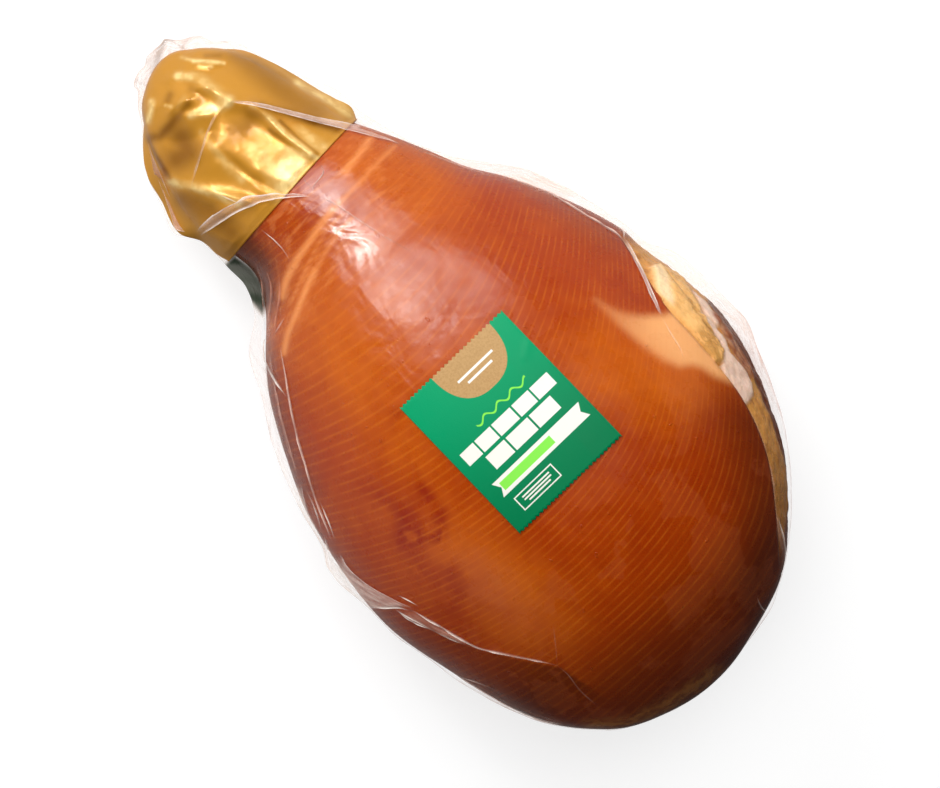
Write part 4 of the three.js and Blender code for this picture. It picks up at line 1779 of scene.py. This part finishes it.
    def _ripple(self, count: int, length: float, seed: int) -> Array:
        """Make a smooth random curve.

        Args:
            count: How many points it has.
            length: How many points a ripple is long.
            seed: Which curve it is.

        Returns:
            Values around 0 with a spread of about 1.
        """
        rng = np.random.default_rng(seed)
        knots = rng.normal(size=int(count / length) + 4)
        curve = Profile(np.column_stack([np.arange(len(knots)) * length, knots]))
        return curve(np.arange(count + 60.0))[:, 0]

    def _rim(self, material: Material) -> Piece:
        """Build the crumpled rim of spare film.

        Args:
            material: Its finish.

        Returns:
            The piece.
        """
        outer, wide = self._outline()
        count = len(outer)
        piece, along, across = Workbench.grid("film_rim", count - 1, self.rim_rows)
        station = np.round(along * (count - 1)).astype(int)
        x, y = outer[station].T
        middle = np.where(x < -157.5, FORM.cover.at(x)[0], FORM.leg.at(x)[0])
        reach_x, reach_y = np.clip(x, -246, 150) - x, middle - y
        length = np.maximum(np.hypot(reach_x, reach_y), 1e-6)
        ux, uy = reach_x / length, reach_y / length
        tail = bump(x - self.tail_spot[0], self.tail_spot[1])
        crumple = 0.3 + tail + 0.35 * bump(x - self.crumpled_spot[0], self.crumpled_spot[1])
        slanted = [
            self._ripple(count, size, seed)[
                np.clip(np.round(station + 30 + slant * across), 0, count + 59).astype(int)
            ]
            for size, slant, seed in ((40, 28, 1), (24, -22, 2), (7, 9, 3))
        ]
        edge = 0.5 * self._ripple(count, 14, 4)[station] + 0.35 * self._ripple(count, 5, 5)[station] * crumple
        width = self.rim_width + self.tail_spread * tail
        inward = (1 - across) * width - edge * across * crumple
        rim_share = smoothstep(across, 0.1, 0.8)
        rise = (1.0 * slanted[0] + 0.5 * slanted[1] + 0.5 * tail * slanted[2]) * crumple * rim_share
        points = np.column_stack([x + ux * inward, y + uy * inward, wide[station] + np.clip(rise, -3, 3)])
        lines = np.maximum(bump(slanted[0], 0.07), 0.7 * bump(slanted[1], 0.07))
        lines += 0.5 * tail * bump(slanted[2], 0.3)
        border = bump(across - 1, 0.07)
        sides = Profile(self.rim_haze)(x)
        base = np.where(y > middle, sides[:, 0], sides[:, 1])
        cloudy = 0.85 + 0.15 * np.tanh(self._ripple(count, 45, 6)[station])
        haze = base * (0.6 * cloudy + 0.6 * lines) + (0.2 + 0.4 * base) * border
        # Painted shadow on the web over the neck's hollow, and grey painted shade along crumple lines in the
        # tail and on the low side.
        painted_web_shadow = patch_mask(points[:, 0], points[:, 1], self.painted_shadow_web, 2.0)
        painted_web_shadow *= 0.96 + 0.04 * np.tanh(2 * slanted[2])
        low_side = bump(x + 95, 55) * (y < middle)
        shade = np.maximum(painted_web_shadow, (0.4 * tail + 0.22 * low_side) * lines + 0.07 * tail)
        warm = 0.08 + 0.2 * bump(x + 80, 40) + 0.3 * tail + 0.5 * smoothstep(x, 40, 100)
        haze, shade = np.clip(haze, 0, 1), np.clip(shade, 0, 1)
        run, side = station * self.rim_step, across * width
        Workbench.paint(piece, haze=haze, shade=shade, warm=warm, run=run, side=side)
        Workbench.shape(piece, placed(points))
        Workbench.close(piece)
        Workbench.wall(piece, self.wall, 0)
        Workbench.dress(piece, material, Slot.FILM, Node.BAGGED_HAM)
        return piece

    def _drape(self, piece: Piece, x: Array, y: Array, rise: Array) -> None:
        """Lay a strip of film on the pack.

        Args:
            piece: The strip.
            x: Places of its vertices along the leg.
            y: Places across it.
            rise: How far they stand off the clinging film.
        """
        middle, half, *_ = FORM.leg.at(np.maximum(x, FORM.rim_x))
        inside = np.clip(y, middle - half + self.margin, middle + half - self.margin)
        y = np.where(x > FORM.rim_x, inside, y)
        step = 0.5
        slope_x = (pack_top(x + step, y) - pack_top(x - step, y)) / (2 * step)
        slope_y = (pack_top(x, y + step) - pack_top(x, y - step)) / (2 * step)
        lifted = (rise + self.lift + self.fold_gap) / np.sqrt(1 + slope_x**2 + slope_y**2)
        points = np.column_stack([x - slope_x * lifted, y - slope_y * lifted, pack_top(x, y) + lifted])
        Workbench.paint(piece, shade=np.zeros(len(x)))
        Workbench.shape(piece, placed(points))

    def _fold(self, number: int, crease: Crease) -> Piece:
        """Build one pinched fold as a ridge of film on the skin.

        Args:
            number: Its number.
            crease: Its path and size.

        Returns:
            The ridge.
        """
        line = smooth_path(crease.path, 0.9)
        columns = len(line) - 1
        piece, along, across = Workbench.grid(f"fold_{number}", columns, 6 * crease.crests + 4)
        station = np.round(along * columns).astype(int)
        x, y, run = line[station].T
        length = line[-1, 2]
        direction = np.gradient(line[:, :2], axis=0)
        direction /= np.linalg.norm(direction, axis=1)[:, None]
        side_x, side_y = -direction[station, 1], direction[station, 0]
        ends = smoothstep(np.minimum(run, length - run), 0, min(12.0, 0.45 * length))
        sizes = enumerate((12, 5, 18, 8))
        ripples = [self._ripple(columns + 1, size, 100 + 7 * number + k)[station] for k, size in sizes]
        c = 2 * across - 1
        uneven = np.clip(1 + 0.16 * ripples[0] + 0.06 * ripples[1], 0.5, 1.6)
        spread = crease.width / 2 * (0.3 + 0.7 * ends) * uneven
        crest = np.zeros(len(x))
        core = np.zeros(len(x))
        for place in range(crease.crests):
            middle = (2 * place + 1) / crease.crests - 1
            wander = ripples[(place + 2) % 4] * 0.2 / crease.crests
            away = (c - middle - wander) * crease.crests
            strength = np.clip(0.8 + 0.3 * ripples[(place + 1) % 4], 0.15, 1)
            crest = np.maximum(crest, strength * np.clip(1 - np.abs(away), 0, 1))
            core = np.maximum(core, strength * bump(away, 0.4))
        border = 1 - np.abs(c) ** 6
        left = 1 + (crease.fade - 1) * run / length
        haze = np.clip(crease.haze * left * ends * border * (0.05 + core), 0, 1)
        side = c * spread
        Workbench.paint(piece, haze=haze, warm=np.full(len(x), crease.warm), run=run + 50 * number, side=side)
        self._drape(piece, x + side_x * side, y + side_y * side, crease.height * ends * crest**1.3 * border)
        return piece

    def _web(self, number: int, web: Web) -> Piece:
        """Build one strip of milky film between its two borders.

        Args:
            number: Its number.
            web: Its borders and looks.

        Returns:
            The strip.
        """
        first = smooth_path(web.first, 1.0)
        second = smooth_path(web.second, 0.5)
        columns = len(first) - 1
        second = second[np.round(np.linspace(0, len(second) - 1, columns + 1)).astype(int)]
        gap = float(np.median(np.hypot(*(first - second)[:, :2].T)))
        rows = int(np.clip(gap / 0.5, 10, 24))
        piece, along, across = Workbench.grid(f"web_{number}", columns, rows)
        station = np.round(along * columns).astype(int)
        share = 0.5 - 0.5 * np.cos(math.pi * across)
        start, end = first[station], second[station]
        x, y, _ = (start + (end - start) * share[:, None]).T
        run = start[:, 2]
        wide = np.hypot(end[:, 0] - start[:, 0], end[:, 1] - start[:, 1])
        ends = smoothstep(np.minimum(run, first[-1, 2] - run), 0, 9.0)
        rims = [bump(share * wide, 0.55), bump((1 - share) * wide, 0.55)]
        ripple = self._ripple(columns + 1, 14, 300 + number)[station]
        from_border = np.minimum(share, 1 - share) * wide
        inside = web.haze * np.clip(0.9 + 0.2 * ripple, 0.3, 1.4) * smoothstep(from_border, 0, 1.2)
        haze = (inside + web.borders[0] * rims[0] + web.borders[1] * rims[1]) * ends
        folds = 0.35 * np.sin(share * wide * 2.2 + 2 * ripple) * smoothstep(from_border, 0, 1.5)
        rise = 0.9 * (web.borders[0] * rims[0] + web.borders[1] * rims[1]) + 0.35 + folds
        warm = np.clip(web.warm * (1 - 0.6 * np.maximum(*rims)), 0, 1)
        Workbench.paint(piece, haze=np.clip(haze, 0, 1), warm=warm, run=run + 50 * number, side=share * wide)
        self._drape(piece, x, y, rise * ends)
        return piece

    def _joined(self, name: str, parts: list[Piece], material: Material) -> Piece:
        """Join strips of film into one piece.

        Args:
            name: The piece's name.
            parts: The strips.
            material: Their finish.

        Returns:
            The piece.
        """
        piece = Workbench.join(name, parts)
        Workbench.wall(piece, self.wall, 0)
        Workbench.dress(piece, material, Slot.FILM, Node.BAGGED_HAM)
        return piece

    def build(self, clear: Material, folded: Material) -> list[Piece]:
        """Build the bag.

        Args:
            clear: The finish where the film clings.
            folded: The finish where it is folded.

        Returns:
            The pieces.
        """
        folds = [self._fold(number, crease) for number, crease in enumerate(self.folds)]
        strips = [self._web(number, web) for number, web in enumerate(self.strips)]
        return [
            self._skin(clear),
            self._rim(folded),
            self._joined("film_folds", folds, folded),
            self._joined("film_webs", strips, folded),
        ]


@dataclass
class PaperLabel:
    """The paper label with pinked ends, which follows the rind's curve."""

    length: float = 95.0
    width: float = 77.5
    turn: float = 0.022
    teeth: int = 27
    tooth_depth: float = 1.3
    thickness: float = 0.35
    gap: float = 0.45
    rows: int = 70
    tooth_steps: int = 4

    def build(self, material: Material) -> Piece:
        """Build the label.

        Args:
            material: Its finish.

        Returns:
            The piece.
        """
        columns = self.teeth * self.tooth_steps
        piece, along, across = Workbench.grid("paper_label", self.rows, columns)
        phase = across * self.teeth % 1
        tooth = self.tooth_depth * (0.5 - 2 * np.abs(phase - 0.5)) * -1
        centred = 2 * along - 1
        end = np.abs(centred) ** 30 * np.sign(centred)
        u = centred * self.length / 2 + end * tooth
        v = self.width * (across - 0.5)
        cos, sin = math.cos(self.turn), math.sin(self.turn)
        x = FORM.label_middle[0] + u * cos - v * sin
        y = FORM.label_middle[1] + u * sin + v * cos
        dent = 0.35 * bump(distance_to_path(u, v, [(-26, 39), (-20, 30)]), 2.0)
        z = FORM.leg.top(x, y) + self.gap + dent
        Workbench.paint(piece, along=u + self.length / 2, across=v)
        Workbench.shape(piece, placed(np.column_stack([x, y, z])))
        Workbench.wall(piece, self.thickness, 1.0)
        Workbench.dress(piece, material, Slot.PAPER, Node.LABEL)
        return piece


@dataclass
class Studio:
    """A pale floor, soft lights and the camera straight above."""

    floor_size: float = 14.0
    floor_tone: float = 0.32
    floor_glow: float = 0.76
    turn: float = math.radians(47.46)
    picture_middle: Pair = (-5.95, -5.33)
    picture_width: float = 526.4
    outline_height: float = 70.0
    distance: float = 5000.0
    sensor: float = 36.0
    clip_end: float = 30.0
    target: Vector = field(default_factory=lambda: Vector((0, 0, 0.08)))
    lamps: tuple[tuple[str, Triple, Pair, float, bool], ...] = (
        ("key_softbox", (-1.45, 0.34, 1.2), (1.4, 0.52), 16, True),
        ("small_softbox", (-1.3, 0.02, 1.24), (0.24, 0.2), 4, True),
        ("top_softbox", (-0.35, 0.3, 1.9), (1.4, 1.4), 19.5, False),
        ("fill_softbox", (0.2, -1.3, 1.0), (1.2, 0.8), 5.5, False),
        ("side_softbox", (0.1, 1.35, 0.7), (1.2, 0.7), 7, False),
    )

    def _floor(self) -> None:
        """Lay the floor."""
        Workbench.deselect()
        bpy.ops.mesh.primitive_plane_add(size=self.floor_size, location=(0, 0, -0.0002))
        floor = bpy.context.object
        floor.name = "floor"
        material, graph, surface = new_material("pale_floor")
        pale = {"Base Color": (self.floor_tone,) * 3, "Emission Color": (1.0, 1.0, 1.0)}
        plain = {"Emission Strength": self.floor_glow, "Roughness": 0.7, "Specular IOR Level": 0.1}
        graph.fill(surface, pale | plain)
        floor.data.materials.append(material)
        floor.visible_diffuse = False
        floor.visible_glossy = False

    def _lamp(self, name: str, place: Triple, size: Pair, power: float, mirrored: bool) -> None:
        """Hang a softbox.

        Args:
            name: Its name.
            place: Where it hangs, in metres.
            size: Its width and height in metres.
            power: Its power in watts.
            mirrored: Whether glossy surfaces mirror it.
        """
        Workbench.deselect()
        bpy.ops.object.light_add(type="AREA", location=place)
        lamp = bpy.context.object
        lamp.name = name
        lamp.rotation_euler = (self.target - Vector(place)).to_track_quat("-Z", "Y").to_euler()
        lamp.data.shape = "ELLIPSE"
        lamp.data.size, lamp.data.size_y = size
        lamp.data.energy = power
        lamp.visible_glossy = mirrored
        lamp.visible_camera = False

    def _world(self) -> None:
        """Light the room: pale round the horizon on the shank's side and dim above."""
        world = bpy.data.worlds.new("studio")
        bpy.context.scene.world = world
        world.use_nodes = True
        graph = Graph(world.node_tree)
        background = world.node_tree.nodes["Background"]
        split = graph.node("ShaderNodeSeparateXYZ")
        graph.plug(graph.node("ShaderNodeTexCoord").outputs["Generated"], split.inputs[0])
        low = graph.rise(split.outputs["Z"], 0.2, 0.75)
        side = graph.rise(split.outputs["X"], 0.5, -0.6, 0.03, 0.7)
        strength = graph.plus(graph.times(graph.math("SUBTRACT", 1.0, low), side), 0.02)
        graph.fill(background, {"Color": (1, 0.995, 0.985), "Strength": strength})

    def build(self) -> None:
        """Set up the studio."""
        self._floor()
        self._world()
        for lamp in self.lamps:
            self._lamp(*lamp)
        camera = bpy.data.objects.new("camera", bpy.data.cameras.new("camera"))
        bpy.context.scene.collection.objects.link(camera)
        camera.data.sensor_width = self.sensor
        camera.data.lens = self.sensor * self.distance / self.picture_width
        x, y = (np.array(self.picture_middle) + SHIFT[:2]) * MM
        camera.location = (x, y, (self.outline_height + self.distance) * MM)
        camera.rotation_euler = (0, 0, self.turn)
        camera.data.clip_end = self.clip_end
        bpy.context.scene.camera = camera
        bpy.context.scene.view_settings.view_transform = "Standard"


def main() -> None:
    """Build the pack and its studio, piece by piece."""
    logging.basicConfig(level=logging.INFO, format="%(name)s: %(message)s")
    film = film_wrinkle_group()
    HamLeg().build(RindFinish().build(film))
    ShankCover().build(FoilFinish().build(film))
    FilmBag().build(FilmFinish().build(film), FoldedFilmFinish().build())
    PaperLabel().build(PaperFinish().build())
    Studio().build()


if __name__ == "__main__":
    main()
